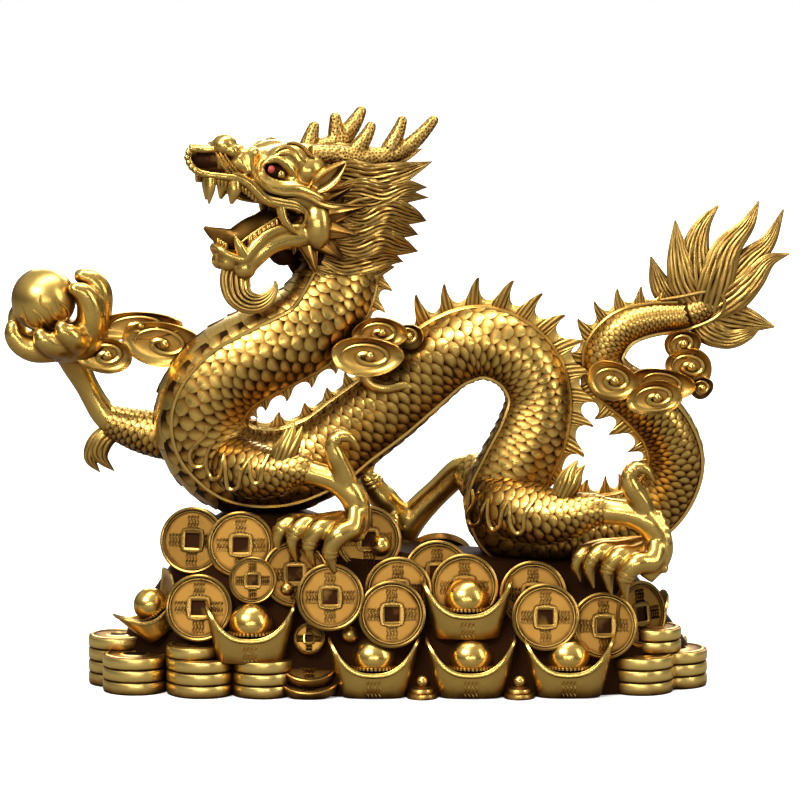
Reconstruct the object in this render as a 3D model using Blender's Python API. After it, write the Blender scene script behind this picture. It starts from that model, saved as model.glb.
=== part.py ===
"""A cast dragon that holds a pearl, on a heap of coins and ingots.

Metres, +Z up. The figure runs along X with its head towards -X, and its front faces -Y.
The origin is the middle of the flat underside. The dragon and the heap are one casting;
the pearl is a ball of its own, set into the raised claw.
"""

import math

import bmesh
import bpy
import numpy as np
from mathutils import Euler, Matrix, Vector

# Driving dimensions, in metres
FIGURE_LENGTH = 0.3907
PEARL_RADIUS = 0.0165
PEARL_CLEARANCE = 0.0003
COIN_RADIUS = 0.0168
SMALL_COIN_RADIUS = 0.0118
COIN_THICKNESS = 0.0042
COIN_HOLE = 0.0074
COIN_HOLE_DEPTH = 0.0014
STACK_COIN_RADIUS = 0.0162
STACK_COIN_THICKNESS = 0.0062
STACK_GROOVE = 0.0008
INGOT_LENGTH = 0.0440
INGOT_DEPTH = 0.0250
INGOT_HEIGHT = 0.0270
INGOT_DOME_RADIUS = 0.0104
FIN_THICKNESS = 0.0036
UNDERCUT = 0.003

# The figure is free form. Its pose is drawn from the front in shares of its length:
# one unit is 1/390.7 of it, which is a millimetre at the size above.
UNIT = FIGURE_LENGTH / 390.7
# The drawing looks down on the figure a little, and its zero line is the front foot.
VIEW_TILT = math.radians(8)
FRONT_DEPTH = 60

# Facets that meet flatter than this become one, and edges flatter than the next are shaded smooth
FLATNESS = math.radians(4)
SMOOTH_EDGE = math.radians(40)
BODY_SIDES = 9
BODY_STEPS = 44
HEAD_SIDES = 8
COIN_SIDES = 16
BACK_COIN_SIDES = 12
PLAIN_COIN_SIDES = 10
STACK_SIDES = 10
INGOT_SIDES = 10
CLOUD_SIDES = 8
TOE_SIDES = 5
BALL_SIDES = 16

# across, up, depth, half width of the trunk, from inside the mane to the end of the tail
TRUNK = [
    (-25, 240, 8, 15),
    (-27.5, 219, 4, 18.5),
    (-34, 202, -1, 21.5),
    (-46, 186, -6, 22.5),
    (-66, 175, -8, 23),
    (-87, 163, -6, 23),
    (-99, 146, -3, 23.5),
    (-97, 128, 1, 24),
    (-82, 115, 3, 24),
    (-60, 113.5, 4, 23),
    (-39, 121.5, 4, 21.5),
    (-24, 133, 3, 20.5),
    (-7, 146, 1, 20),
    (9, 160, -1, 19.5),
    (23, 172, -3, 19.5),
    (38, 177.5, -4, 19.5),
    (52, 174.5, -5, 18.5),
    (63.5, 165, -5, 17.5),
    (69, 150, -5, 17),
    (65.5, 132, -5, 18.5),
    (57, 114.5, -4, 19),
    (50.5, 98.5, -1, 19),
    (56, 84.5, 3, 19),
    (73, 81.5, 7, 18.5),
    (93, 83.5, 9, 18),
    (115, 88, 9, 17),
    (131, 99, 8, 15.5),
    (138.5, 117, 6, 14.8),
    (133.5, 134, 4, 14),
    (120, 148.5, 1, 13),
    (107, 158, -1, 12),
    (101.5, 168, -2, 11),
    (104, 177, -2, 10.4),
    (112, 185, -2, 9.6),
    (125, 189, -1, 8.6),
    (140, 190.5, 0, 7.8),
    (149, 193, 0, 6.6),
]

# The dorsal fin: share of the trunk's length, height of a spike and pitch of the spikes there
FIN = [
    (0.045, 8, 11.5),
    (0.11, 7, 11.5),
    (0.20, 6.5, 11.5),
    (0.30, 7, 12),
    (0.37, 10, 14),
    (0.41, 15, 16),
    (0.50, 17, 17),
    (0.56, 13, 18),
    (0.64, 10, 17),
    (0.70, 8, 12),
    (0.86, 9, 13),
    (0.93, 9, 13.5),
    (0.965, 6, 11),
]
FIN_WEB = 0.12
FIN_LEAN = 0.72
FIN_ROOT = 5

# The head's own frame: forward, to the near side, up. It is turned towards the front.
HEAD_AT = (-50, 248.5, -6)
HEAD_TURN = math.radians(28)
# forward, middle height, half width, half height
SKULL = [
    (-22, 6, 15, 17),
    (-10, 8, 18.5, 20),
    (2, 10, 18, 19),
    (13, 13.5, 17.5, 15.5),
    (24, 14.5, 14.5, 12),
    (35, 15, 12, 9.8),
    (47, 18, 14, 9),
    (55, 19.5, 13, 8),
    (61, 20.5, 8.5, 5),
]
JAW = [
    (-14, -8, 15, 13),
    (-2, -13, 15.5, 12),
    (10, -19.5, 13, 7.5),
    (25, -26, 10.5, 5.6),
    (36, -30, 10, 7.5),
    (43, -28.5, 9, 6.5),
    (50, -24, 5.5, 3),
]
THROAT = [
    (-8, -4, 13, 14),
    (10, -5, 10, 13),
    (24, -6, 8, 12),
    (33, -8, 5, 10),
]
MANE_CORE = [
    (0, -6, 15, 24),
    (-14, -6, 20, 28),
    (-30, -7, 20, 27),
    (-44, -6, 15, 20),
    (-54, -4, 8, 11),
]
# Lock paths of one side of the mane: forward, side, up, half width
MANE = [
    [(-12, 13, 13, 6.5), (-30, 15, 14, 7), (-48, 15, 15, 6), (-65, 13, 20, 0.4)],
    [(-14, 17, 6, 5.5), (-32, 19, 6, 6), (-50, 17, 7, 4.5), (-62, 16, 6, 0.4)],
    [(-14, 18, -4, 6), (-30, 20, -1, 6.5), (-48, 19, -2, 5.5), (-62, 17, -9.5, 0.4)],
    [(-13, 18.5, -12, 5.5), (-28, 20.5, -11, 6), (-43, 19, -11, 4.5), (-56, 17, -8, 0.4)],
    [(-12, 19, -20, 6), (-26, 20.5, -19, 6.5), (-40, 19, -19.5, 5.5), (-55, 17, -24.5, 0.4)],
    [(-8, 18, -28, 6), (-20, 19.5, -29, 6.5), (-33, 18, -28, 5.5), (-48, 16, -30.5, 0.4)],
    [(-2, 14, -33, 5), (-13, 16.5, -37, 6), (-25, 16, -38, 5.5), (-40, 13, -34, 0.4)],
    [(-12, 6, 19, 6), (-28, 8, 20, 6.5), (-44, 9, 19, 5), (-60, 8, 23, 0.4)],
]
CHEEK_SPIKES = [
    [(-2, 17, 0, 5), (-15, 25, 7.5, 0.3)],
    [(-6, 17.5, -6, 5.5), (-22, 24, -2.5, 0.3)],
    [(-6, 18, -14, 5.5), (-19, 24, -18, 0.3)],
    [(-3, 17, -20, 5.5), (-11, 23, -30.5, 0.3)],
    [(3, 14, -22, 5), (5, 19, -36.5, 0.3)],
]
# Of these, the far side, which is plainer, has
PLAIN_SIDE = (0, 2, 4, 6)
# The two antlers differ. A beam and two tines each: forward, side, up, half width
ANTLERS = {
    "near": [
        [(-2, 8, 20, 4.3), (-17, 10, 21, 4.6), (-34, 11, 22.5, 4.3), (-49, 12.5, 26.5, 3.6),
         (-58, 14, 32.5, 3.2), (-66, 15, 40, 2.4)],
        [(-24, 11, 24, 3.8), (-29.5, 12, 31, 3.1), (-33, 12, 36.5, 2.2)],
        [(-43, 12.5, 25, 3.8), (-47.5, 13, 33, 3), (-50, 13, 39, 2.2)],
    ],
    "far": [
        [(-2, 8, 20, 4.3), (-15, 11, 24, 4.6), (-27, 12, 27, 4.4), (-35, 12, 35, 3.8),
         (-40, 12, 42.5, 2.4)],
        [(-7, 9.5, 22, 4), (-11, 11, 30, 3.4), (-13.5, 12, 36, 2.4)],
        [(-26, 11, 26, 4), (-26, 12, 33, 3.4), (-25.5, 12, 40, 2.4)],
    ],
}
# Rounded forms on each side of the head: forward, side, up, then half length, half depth, half height
HEAD_BALLS = {
    "nostril": (44.5, 7, 26, 7.4, 7.4, 7.4),
    "brow": (14, 10.5, 22.5, 10.5, 6.5, 7.5),
    "eye": (22.5, 12.5, 15, 4.4, 4.4, 4.4),
    "jowl": (0, 11, -12, 12, 9, 13),
}
EAR = [(3, 16, 8, 3.5), (-3, 20, 12, 5.6), (-8, 23.5, 15.5, 4.6), (-12, 26, 20, 0.4)]
CANINES = [
    [(42, 9, 13, 3.2), (43, 10.5, 6, 2.6), (43.5, 11, -2, 0.4)],
    [(37, -8, -27, 2.8), (39.5, -9, -21, 2.2), (43, -10, -15, 0.4)],
    [(21, 10, 8, 2.8), (18.5, 13, -4, 2.2), (10, 14, -15, 0.4)],
]
TONGUE = [(12, 0, -14, 6), (28, 0, -19, 6.5), (40, 0, -21, 5.5), (49, 0, -15.5, 3.6), (55, 0, -10.5, 0.8)]
# across, up, depth, half width
BEARD = [
    (-79, 217, -32, 8), (-80.5, 209, -32, 7.6), (-79.5, 202, -31, 6.6), (-75, 198, -30, 5.4),
    (-69, 198, -29, 4.4), (-65, 201.5, -29, 2.8), (-63, 207, -29, 0.6),
]

# across, up, depth, half width: each limb's scaled upper part, bare lower part and toes
FRONT_NEAR = {
    "upper": [(-88, 122, -8, 12), (-78, 115, -20, 14), (-64, 112.5, -28, 12.5), (-50, 114.5, -33, 9)],
    "fore": [(-54, 114.5, -33, 8), (-44, 112.5, -35, 6.2), (-33, 109, -37, 6.2), (-24.5, 103, -38, 7),
             (-21, 95, -38, 6.6), (-20.5, 86, -39, 5.4), (-25, 80, -41, 4)],
    "tuft": [(-60, 116, -36, 5.5), (-57, 124, -37, 6.5), (-54, 131, -37, 4), (-52, 138, -37, 0.4)],
    "toes": [
        [(-22, 93, -42, 4.4), (-24, 83, -46, 5), (-32, 80, -47, 5), (-35, 72, -47, 3.4),
         (-31, 58, -46, 0.5)],
        [(-25, 98, -39, 4), (-30, 87, -42, 4.6), (-40.5, 83, -43, 4.7), (-45, 75, -43, 3.2),
         (-40, 64.5, -43, 0.5)],
        [(-28, 102, -35, 4), (-36, 91, -37, 4.4), (-49, 86, -38, 4.4), (-54, 78, -38, 3),
         (-51.5, 69, -38, 0.5)],
        [(-30, 104, -30, 4), (-42, 94, -31, 4.2), (-56, 87.5, -32, 4.2), (-61.5, 80, -32, 3),
         (-60, 71, -33, 0.5)],
        [(-27, 105, -38, 6), (-32, 115, -41, 5), (-34, 124, -42, 4.6), (-30.5, 129.5, -43, 4),
         (-22.5, 126, -43, 0.5)],
    ],
}
HIND_NEAR = {
    "upper": [(44, 104, -6, 12), (54, 96, -18, 15), (70, 91, -27, 14.5), (84, 91.5, -32, 12),
              (97, 94, -35, 8.6)],
    "fore": [(92, 94.5, -34, 8.4), (103, 93.5, -36, 6.8), (114, 92, -38, 6.8), (123, 88, -39, 7.4),
             (128, 80, -39, 6.8), (128.5, 71, -40, 6), (121.5, 60, -42, 4)],
    "tuft": [(80, 101, -36, 6), (83, 108, -37, 6.5), (85, 114, -37, 4), (88, 119, -37, 0.4)],
    "toes": [
        [(127, 76, -43, 4.6), (124, 68, -46, 5), (115, 66, -48, 4.8), (110, 59, -48, 3.3),
         (111, 49.5, -47, 0.5)],
        [(124, 81, -40, 4), (119, 72, -43, 4.6), (107.5, 70, -44, 4.5), (102.5, 62, -44, 3.2),
         (104.5, 52.5, -44, 0.5)],
        [(122, 84, -36, 4), (112, 76, -38, 4.4), (98.5, 72.5, -39, 4.2), (93.5, 65, -39, 3),
         (96, 55, -39, 0.5)],
        [(120, 86, -31, 4), (105, 78, -32, 4.2), (91.5, 72, -33, 4), (87.5, 66, -33, 2.8),
         (89.5, 58.5, -34, 0.5)],
        [(121, 92, -39, 6), (115, 101, -42, 5), (112, 109, -43, 4.6), (116.5, 114.5, -44, 4),
         (125, 110.5, -44, 0.5)],
    ],
}
HIND_FAR = {
    "upper": [(48, 104, 8, 13), (42, 108, 18, 13.5), (34, 114, 25, 9)],
    "fore": [(38, 113, 24, 9), (30, 112, 28, 7.4), (20, 103, 31, 6.8), (10, 93, 33, 7.4),
             (3, 84, 34, 8), (0, 72, 35, 6)],
    "tuft": [(44, 117, 24, 5), (50, 124, 26, 5), (57, 132, 24, 2.8), (62, 138, 20, 0.4)],
    "toes": [
        [(0, 82, 38, 5), (-9, 72, 42, 4.8), (-15, 66, 42, 3.6), (-15, 56, 42, 0.5)],
        [(-1, 86, 32, 5), (-16, 76, 34, 4.6), (-23, 70, 34, 3.4), (-24, 60, 34, 0.5)],
        [(0, 87, 26, 5), (-20, 80, 26, 4.6), (-28, 74, 26, 3.4), (-29, 64, 26, 0.5)],
        [(6, 85, 33, 6.5), (-5, 95, 31, 6.6), (-13, 104, 29, 6.2), (-17, 112, 28, 5),
         (-12, 118, 28, 0.5)],
    ],
}
ARM_FAR = {
    "upper": [(-96, 130, 8, 14), (-112, 130, 14, 12.5), (-130, 133, 17, 11), (-147, 138.5, 18, 8)],
    "fore": [(-143, 137, 18, 8), (-150, 143, 18, 6.6), (-157, 155, 17, 6), (-162, 165, 14, 7.2),
             (-166, 175, 10, 9)],
    "tuft": [(-144, 134, 18, 6), (-151, 128, 18, 6.4), (-153, 121, 18, 4.6), (-147.5, 115, 18, 0.4)],
}
LIMBS = {"front_near": FRONT_NEAR, "hind_near": HIND_NEAR, "hind_far": HIND_FAR, "arm_far": ARM_FAR}
PALM = {"at": (-169, 177.5, 1), "half": (20, 11.5, 15)}
# Where the pearl's lowest point meets the palm, and the way up from there to the pearl's middle
PEARL_FOOT = (-171.5, 183.6, -0.4)
PEARL_RISE = (-0.366, 0.905, -0.216)
# The fingers close round a pearl of this radius, and open or close with the real one
FINGERS_DRAWN_FOR = 16.5
CLAW_FINGERS = [
    [(-176, 173, -5, 6.4), (-186, 175, -7, 5.6), (-191.5, 179.5, -8, 4.6), (-194, 185, -8, 3.2),
     (-192.5, 190, -8, 0.5)],
    [(-162, 181, -2, 6), (-155.5, 189, -5, 5.6), (-155.5, 198, -7, 5.2), (-158.5, 204, -10, 3.8),
     (-166, 205.5, -14, 0.5)],
    [(-153, 179, 4, 6), (-150, 190, 5, 5.4), (-149.5, 200, 4, 5.4), (-153.5, 208.5, 2, 4.8),
     (-166, 212, -2, 0.5)],
    [(-176, 174, 6, 6), (-189, 181, 10, 4.6), (-194, 191, 9, 3.2), (-192, 199, 6, 0.5)],
]

# Tail hair: across, up, depth, half width
TAIL_HAIR = [
    [(139, 191, 0, 5), (132, 203, 0, 5), (125.5, 220, 0, 0.5)],
    [(143, 200, -2, 6.5), (137.5, 216, -3, 7.5), (136.5, 228, -2, 4.5), (137.5, 238, 0, 0.5)],
    [(149, 200, 1, 7), (146.5, 216, 2, 8.5), (150, 232, 2, 6), (158.5, 245, 1, 0.5)],
    [(153, 200, -3, 7), (156.5, 217, -5, 8.5), (168, 232, -4, 5.5), (178.5, 247.5, -2, 0.5)],
    [(156, 199, 2, 7), (165, 213, 4, 8), (178.5, 226, 4, 5), (191, 244, 2, 0.5)],
    [(157, 197, -2, 6.5), (168.5, 206, -4, 7), (180, 215, -3, 4.5), (194, 221, 0, 0.5)],
    [(154, 192, 2, 7), (166, 187, 3, 7.5), (177, 187, 2, 5), (187, 185, 0, 0.5)],
    [(149, 189, -1, 5.5), (158, 180, -3, 5.5), (168, 180, -2, 3.5), (178, 184, 0, 0.5)],
]
TAIL_DISC = {"at": (152, 201, 0), "half": (13, 13, 5)}

# Clouds: across, up, depth, half length, half height, turn in degrees
CLOUDS = [
    (-119, 177, 2, 20, 11.5, -12),
    (-131, 186, 4, 21, 7.5, 2),
    (-147, 171, -3, 14, 9, 4),
    (-16.5, 170.5, -24, 19, 9.5, -4),
    (-10, 182, -19, 13.5, 8, -4),
    (4, 180.5, -17, 7.5, 6.5, 0),
    (105.5, 158.5, -15, 13.5, 9.5, -10),
    (126.5, 150, -18, 14.5, 8.5, 4),
    (131, 157, -13, 15.5, 8, -12),
    (140.5, 176.5, -7, 9, 7.5, 20),
    (144, 165.5, -8, 12.5, 9, -10),
    (150, 155, -10, 6, 5.5, 0),
]
# Layers of a cloud: depth in front of and behind its middle, and share of its outline
CLOUD_LAYERS = [(-5.5, 0.72), (-1.5, 1.0), (11, 0.6)]
CLOUD_WISP = [(-16, 160, -20, 3.6), (-12, 155.5, -20, 3.4), (-4, 154, -19, 3), (4, 155, -17, 2.4),
              (11, 151, -16, 0.5)]

# The mound under the coins: across, half depth, height
MOUND = [
    (-150, 14, 10), (-136, 26, 26), (-98, 42, 77), (-60, 47, 86), (0, 50, 68), (70, 49, 62),
    (108, 43, 58), (126, 34, 42), (150, 14, 10),
]
MOUND_FOOT = 8
# How far a coin's bed goes into the mound, and its width as a share of the coin's
COIN_BED = 6
COIN_BED_SHARE = 0.5

# Coins on the front of the heap: across, up, depth, turn about the vertical, lean back, small
COINS = [
    (-103, 78.5, -22, -14, 12, False), (-79, 76.5, -32, -2, 12, False), (-73, 59, -41, 0, 14, True),
    (-99.5, 45.5, -43, -6, 12, False), (-34.5, 51, -49, 0, 14, False), (-4, 42.5, -49, 2, 12, False),
    (-1, 54, -39, 0, 14, False), (18.5, 62, -28, 4, 16, False), (32, 55.5, -37, 0, 14, False),
    (66, 52, -37, 2, 14, False), (72, 41, -46, 0, 12, False), (101, 36.5, -41, 6, 12, False),
    (119, 42, -29, 42, 8, False), (-16, 79, -22, 10, 14, False),
]
# Coins laid on the back of the mound: across, height, lean
BACK_COINS = [(-96, 52, 24), (-62, 44, 18), (-16, 50, 30), (52, 42, 24)]
# Ingots: across, up, depth, turn about the vertical, roll, share of the full size
INGOTS = [
    (-74, 19, -45, 0, 0, 1), (-13, 0.5, -46, 0, 0, 1), (33, 31, -41, 2, 0, 1), (35, 0.5, -46, 0, 0, 1),
    (83.5, 0.5, -45, 0, 0, 1), (-116, 36, -26, 24, -38, 0.78), (117, 24, -12, 20, -6, 0.88),
    (-66, 10, 42, 180, 0, 0.9), (2, 4, 44, 176, 0, 0.9), (70, 8, 43, 184, 0, 0.9),
]
# Stacks: across, depth, coins, share of the full radius
STACKS = [
    (-141, -10, 4, 0.9), (-132.5, -30, 3, 1), (-99.5, -39, 3, 1), (-103, -38, 4, 0.86),
    (-68, -41, 3, 0.95),
    (120, -31, 3, 1), (127, -22, 5, 0.82), (137.5, -14, 3, 1),
]
BACK_STACKS = [
    (-118, 27, 3, 1), (-92, 36, 3, 1), (-34, 42, 2, 1), (36, 42, 2, 1), (100, 34, 3, 1), (129, 17, 3, 1),
]
LEANING_COINS = [(-45, 10, -43, 24, 1.0), (-45, 17, -42, 30, 0.92), (-45, 30, -45, 62, 0.5)]
# Beads: across, up, depth, radius; and small knobs on two rings between the ingots: across, depth
BEADS = [(-56, 55, -41, 3.4), (-25, 32.5, -46, 4.4), (-9.5, 76, -26, 5.3)]
KNOBS = [(11, -51), (59, -51)]
KNOB_RINGS = [(0, 7.6), (2.6, 6.6), (5, 5.4), (6.2, 2)]
KNOB_BALL = 3.2


def drawn(across, up, depth):
    """A point of the front drawing, in metres. What lies deeper is drawn a little higher."""
    height = (up - (depth + FRONT_DEPTH) * math.sin(VIEW_TILT)) / math.cos(VIEW_TILT)
    return Vector((across, depth, height)) * UNIT


def in_head(forward, side, up):
    """A point of the head's frame, in metres. Its side points to the viewer."""
    turned = Vector(
        (
            -forward * math.cos(HEAD_TURN) + side * math.sin(HEAD_TURN),
            -forward * math.sin(HEAD_TURN) - side * math.cos(HEAD_TURN),
            up,
        )
    )
    return drawn(*HEAD_AT) + turned * UNIT


def run_along(points):
    """How far along a line each of its points is."""
    return np.r_[0, np.cumsum(np.linalg.norm(np.diff(points, axis=0), axis=1))]


def smooth(rows, count):
    """count rows spaced evenly along the smooth curve through the given ones."""
    given = np.array(rows, float)
    led = np.vstack([2 * given[0] - given[1], given, 2 * given[-1] - given[-2]])
    share = np.linspace(0, 1, 12, endpoint=False)[:, None]
    runs = []
    for a, b, c, d in zip(led, led[1:], led[2:], led[3:]):
        bend, twist = 2 * a - 5 * b + 4 * c - d, 3 * b - a - 3 * c + d
        runs.append(0.5 * (2 * b + (c - a) * share + bend * share**2 + twist * share**3))
    fine = np.vstack(runs + [given[-1:]])
    gone = run_along(fine[:, :3])
    stops = np.linspace(0, gone[-1], count)
    return np.column_stack([np.interp(stops, gone, column) for column in fine.T])


def frames(points):
    """Direction, back side and depth side at each point of a line in the figure's plane."""
    along = np.gradient(points, axis=0)
    along /= np.linalg.norm(along, axis=1)[:, None]
    back = np.cross(along, (0, 1, 0))
    back /= np.linalg.norm(back, axis=1)[:, None]
    return along, back, np.cross(along, back)


def new_piece(name, mesh_data, into):
    """A closed mesh object in a collection, its faces turned outwards."""
    mesh = bpy.data.meshes.new(name)
    bmesh.ops.recalc_face_normals(mesh_data, faces=mesh_data.faces)
    mesh_data.to_mesh(mesh)
    mesh_data.free()
    mesh.shade_smooth()
    mesh.set_sharp_from_angle(angle=SMOOTH_EDGE)
    piece = bpy.data.objects.new(name, mesh)
    into.objects.link(piece)
    return piece


def loft(name, rings, into):
    """A closed solid through rings of points. A ring of one point is a tip."""
    mesh_data = bmesh.new()
    made = [[mesh_data.verts.new(Vector(p)) for p in ring] for ring in rings]
    for lower, upper in zip(made, made[1:]):
        count = max(len(lower), len(upper))
        for i in range(count):
            j = (i + 1) % count
            if len(upper) == 1:
                corners = [lower[i], lower[j], upper[0]]
            elif len(lower) == 1:
                corners = [lower[0], upper[j], upper[i]]
            else:
                corners = [lower[i], lower[j], upper[j], upper[i]]
            mesh_data.faces.new(corners)
    for ring in (made[0], made[-1]):
        if len(ring) > 2:
            mesh_data.faces.new(ring)
    return new_piece(name, mesh_data, into)


def tube(name, line, sides, into, flat=1.0):
    """A round bar along a line whose fourth column is its half width, in metres."""
    along, back, deep = frames(line[:, :3])
    turns = np.arange(sides) * 2 * math.pi / sides + math.pi / sides
    rings = []
    for point, half, n, b in zip(line[:, :3], line[:, 3], back, deep):
        if half < 0.9 * UNIT:
            rings.append([point])
        else:
            rings.append([point + half * (math.cos(t) * n + flat * math.sin(t) * b) for t in turns])
    return loft(name, rings, into)


def drawn_line(rows, steps):
    """Rows of across, up, depth and half width, as an even line in metres."""
    return smooth([(*drawn(*row[:3]), row[3] * UNIT) for row in rows], steps)


def head_line(rows, steps, side=1):
    """Rows in the head's frame, as an even line in metres, on the near or the far side."""
    return smooth([(*in_head(f, side * s, up), half * UNIT) for f, s, up, half in rows], steps)


def head_loft(name, sections, into):
    """Oval sections across the head, from back to front."""
    turns = np.arange(HEAD_SIDES) * 2 * math.pi / HEAD_SIDES + math.pi / HEAD_SIDES
    rings = [
        [in_head(forward, wide * math.sin(t), middle + high * math.cos(t)) for t in turns]
        for forward, middle, wide, high in sections
    ]
    return loft(name, rings, into)


def ball(name, centre, half, into, fineness=1):
    """A faceted egg. half is its half size along each axis."""
    mesh_data = bmesh.new()
    place = Matrix.Translation(centre) @ Matrix.Diagonal((*half, 1))
    bmesh.ops.create_icosphere(mesh_data, subdivisions=fineness, radius=1, matrix=place)
    return new_piece(name, mesh_data, into)


def round_ball(name, centre, radius, into):
    """A ball of rings about an upright axis, its poles on the axis."""
    mesh_data = bmesh.new()
    spot = Matrix.Translation(centre)
    sides, rings = BALL_SIDES, BALL_SIDES // 2 + 1
    bmesh.ops.create_uvsphere(mesh_data, u_segments=sides, v_segments=rings, radius=radius, matrix=spot)
    return new_piece(name, mesh_data, into)


def make_trunk(into):
    tube("trunk", drawn_line(TRUNK, BODY_STEPS), BODY_SIDES, into)


def make_fin(into):
    """A saw-toothed blade along the back, each tooth leaning towards the tail."""
    line = drawn_line(TRUNK, BODY_STEPS * 6)
    _, back, deep = frames(line[:, :3])
    edge = line[:, :3] + back * line[:, 3:]
    gone, ridge = run_along(line[:, :3]), run_along(edge)
    shares, heights, pitches = np.array(FIN, float).T
    # Teeth are spaced along the ridge of the back, and sized by where they are along the trunk
    start, stop = (np.interp(share * gone[-1], gone, ridge) for share in (FIN[0][0], FIN[-1][0]))
    edges = []
    at = start
    while at < stop:
        share = np.interp(at, ridge, gone) / gone[-1]
        high, pitch = (np.interp(share, shares, values) * UNIT for values in (heights, pitches))
        edges.append((at, at, FIN_WEB * high))
        edges.append((at + pitch / 2, at + FIN_LEAN * pitch, high))
        at += pitch
    edges.append((at, at, FIN_WEB * high))

    def spot(run, lift, sideways):
        column = [np.interp(run, ridge, values) for values in (*edge.T, *back.T, *deep.T)]
        return np.array(column[:3]) + np.array(column[3:6]) * lift + np.array(column[6:]) * sideways

    rings = [
        [
            spot(foot, -FIN_ROOT * UNIT, FIN_THICKNESS / 2),
            spot(foot, -FIN_ROOT * UNIT, -FIN_THICKNESS / 2),
            spot(tip, high, 0),
        ]
        for foot, tip, high in edges
    ]
    loft("dorsal_fin", rings, into)


def make_head(into):
    head_loft("skull", SKULL, into)
    head_loft("jaw", JAW, into)
    head_loft("throat", THROAT, into)
    head_loft("mane_core", MANE_CORE, into)
    tube("tongue", head_line(TONGUE, 6), 5, into, flat=0.45)
    tube("beard", drawn_line(BEARD, 9), 6, into, flat=0.7)
    for side, word in ((1, "near"), (-1, "far")):
        for i, rows in enumerate(ANTLERS[word]):
            tube(f"antler_{word}_{i}", head_line(rows, len(rows), side), 4, into)
        for form, (forward, beside, up, *half) in HEAD_BALLS.items():
            ball(f"{form}_{word}", in_head(forward, beside * side, up), [h * UNIT for h in half], into)
        tube(f"ear_{word}", head_line(EAR, 4, side), 5, into, flat=0.6)
        for i, rows in enumerate(MANE):
            if side > 0 or i in PLAIN_SIDE:
                tube(f"lock_{word}_{i}", head_line(rows, 4, side), 4, into)
        for i, rows in enumerate(CHEEK_SPIKES):
            if side > 0 or i in PLAIN_SIDE:
                tube(f"cheek_spike_{word}_{i}", head_line(rows, 2, side), 4, into, flat=0.6)
        for i, rows in enumerate(CANINES):
            tube(f"canine_{word}_{i}", head_line(rows, 3, side), 4, into)


def make_limb(word, limb, into):
    tube(f"{word}_upper", drawn_line(limb["upper"], 5), 7, into)
    tube(f"{word}_fore", drawn_line(limb["fore"], 7), 6, into)
    tube(f"{word}_tuft", drawn_line(limb["tuft"], 4), 5, into, flat=0.7)
    # The far side is plainer
    steps, sides = (6, TOE_SIDES) if "near" in word else (5, 4)
    for i, rows in enumerate(limb.get("toes", [])):
        tube(f"{word}_toe_{i}", drawn_line(rows, steps), sides, into)


def pearl_centre():
    foot = np.array(PEARL_FOOT)
    return drawn(*(foot + np.array(PEARL_RISE) * PEARL_RADIUS / UNIT))


def make_pearl_claw(into):
    long, high, deep = (size * UNIT for size in PALM["half"])
    ball("palm", drawn(*PALM["at"]), (long, deep, high), into, fineness=2)
    grip = PEARL_RADIUS / (FINGERS_DRAWN_FOR * UNIT)
    for i, rows in enumerate(CLAW_FINGERS):
        foot = np.array([*PEARL_FOOT, 0])
        gripping = foot + (np.array(rows) - foot) * (grip, grip, grip, 1)
        tube(f"claw_finger_{i}", drawn_line(gripping, 6), TOE_SIDES, into)


def make_clouds(into):
    """Thick lens-shaped lobes, each carried back into what lies behind it."""
    for i, (across, up, depth, long, high, turn) in enumerate(CLOUDS):
        centre = drawn(across, up, depth)
        tilt = Euler((0, -math.radians(turn), 0)).to_matrix()
        rings = []
        for layer, share in CLOUD_LAYERS:
            ring = []
            for k in range(CLOUD_SIDES):
                t = 2 * math.pi * k / CLOUD_SIDES
                offset = Vector((long * share * math.cos(t), layer, high * share * math.sin(t)))
                ring.append(centre + tilt @ offset * UNIT)
            rings.append(ring)
        loft(f"cloud_{i}", rings, into)
    tube("cloud_wisp", drawn_line(CLOUD_WISP, 6), 5, into)


def make_tail_hair(into):
    long, high, deep = (size * UNIT for size in TAIL_DISC["half"])
    ball("tail_disc", drawn(*TAIL_DISC["at"]), (long, deep, high), into)
    for i, rows in enumerate(TAIL_HAIR):
        tube(f"tail_lock_{i}", drawn_line(rows, 5), 4, into, flat=0.6)


def make_mound(into):
    """The mass under the coins, carried a little below the floor, where it is cut flat."""
    rings = []
    for across, half, high in MOUND:
        outline = [
            (-half, -UNDERCUT / UNIT), (-half, MOUND_FOOT), (-0.8 * half, 0.68 * high),
            (-0.4 * half, high),
            (0.4 * half, high), (0.8 * half, 0.68 * high), (half, MOUND_FOOT), (half, -UNDERCUT / UNIT),
        ]
        rings.append([Vector((across, y, max(z, -UNDERCUT / UNIT))) * UNIT for y, z in outline])
    return loft("mound", rings, into)


def mound_face(across, height):
    """How deep the mound is at a height above the floor, in units."""
    sections = np.array(MOUND, float).T
    half, top = (np.interp(across, sections[0], values) for values in sections[1:])
    return half * np.interp(height, (MOUND_FOOT, 0.68 * top, top), (1.0, 0.8, 0.4))


def place_ring(place, radius, depth, sides):
    turns = [2 * math.pi * k / sides for k in range(sides)]
    return [place @ Vector((radius * math.cos(t), depth, radius * math.sin(t))) for t in turns]


def plain_coin(name, centre, facing, radius, thickness, into):
    place = Matrix.Translation(centre) @ facing.to_4x4()
    half = thickness / 2
    rings = [place_ring(place, radius, depth, PLAIN_COIN_SIDES) for depth in (-half, half)]
    return loft(name, rings, into)


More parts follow.
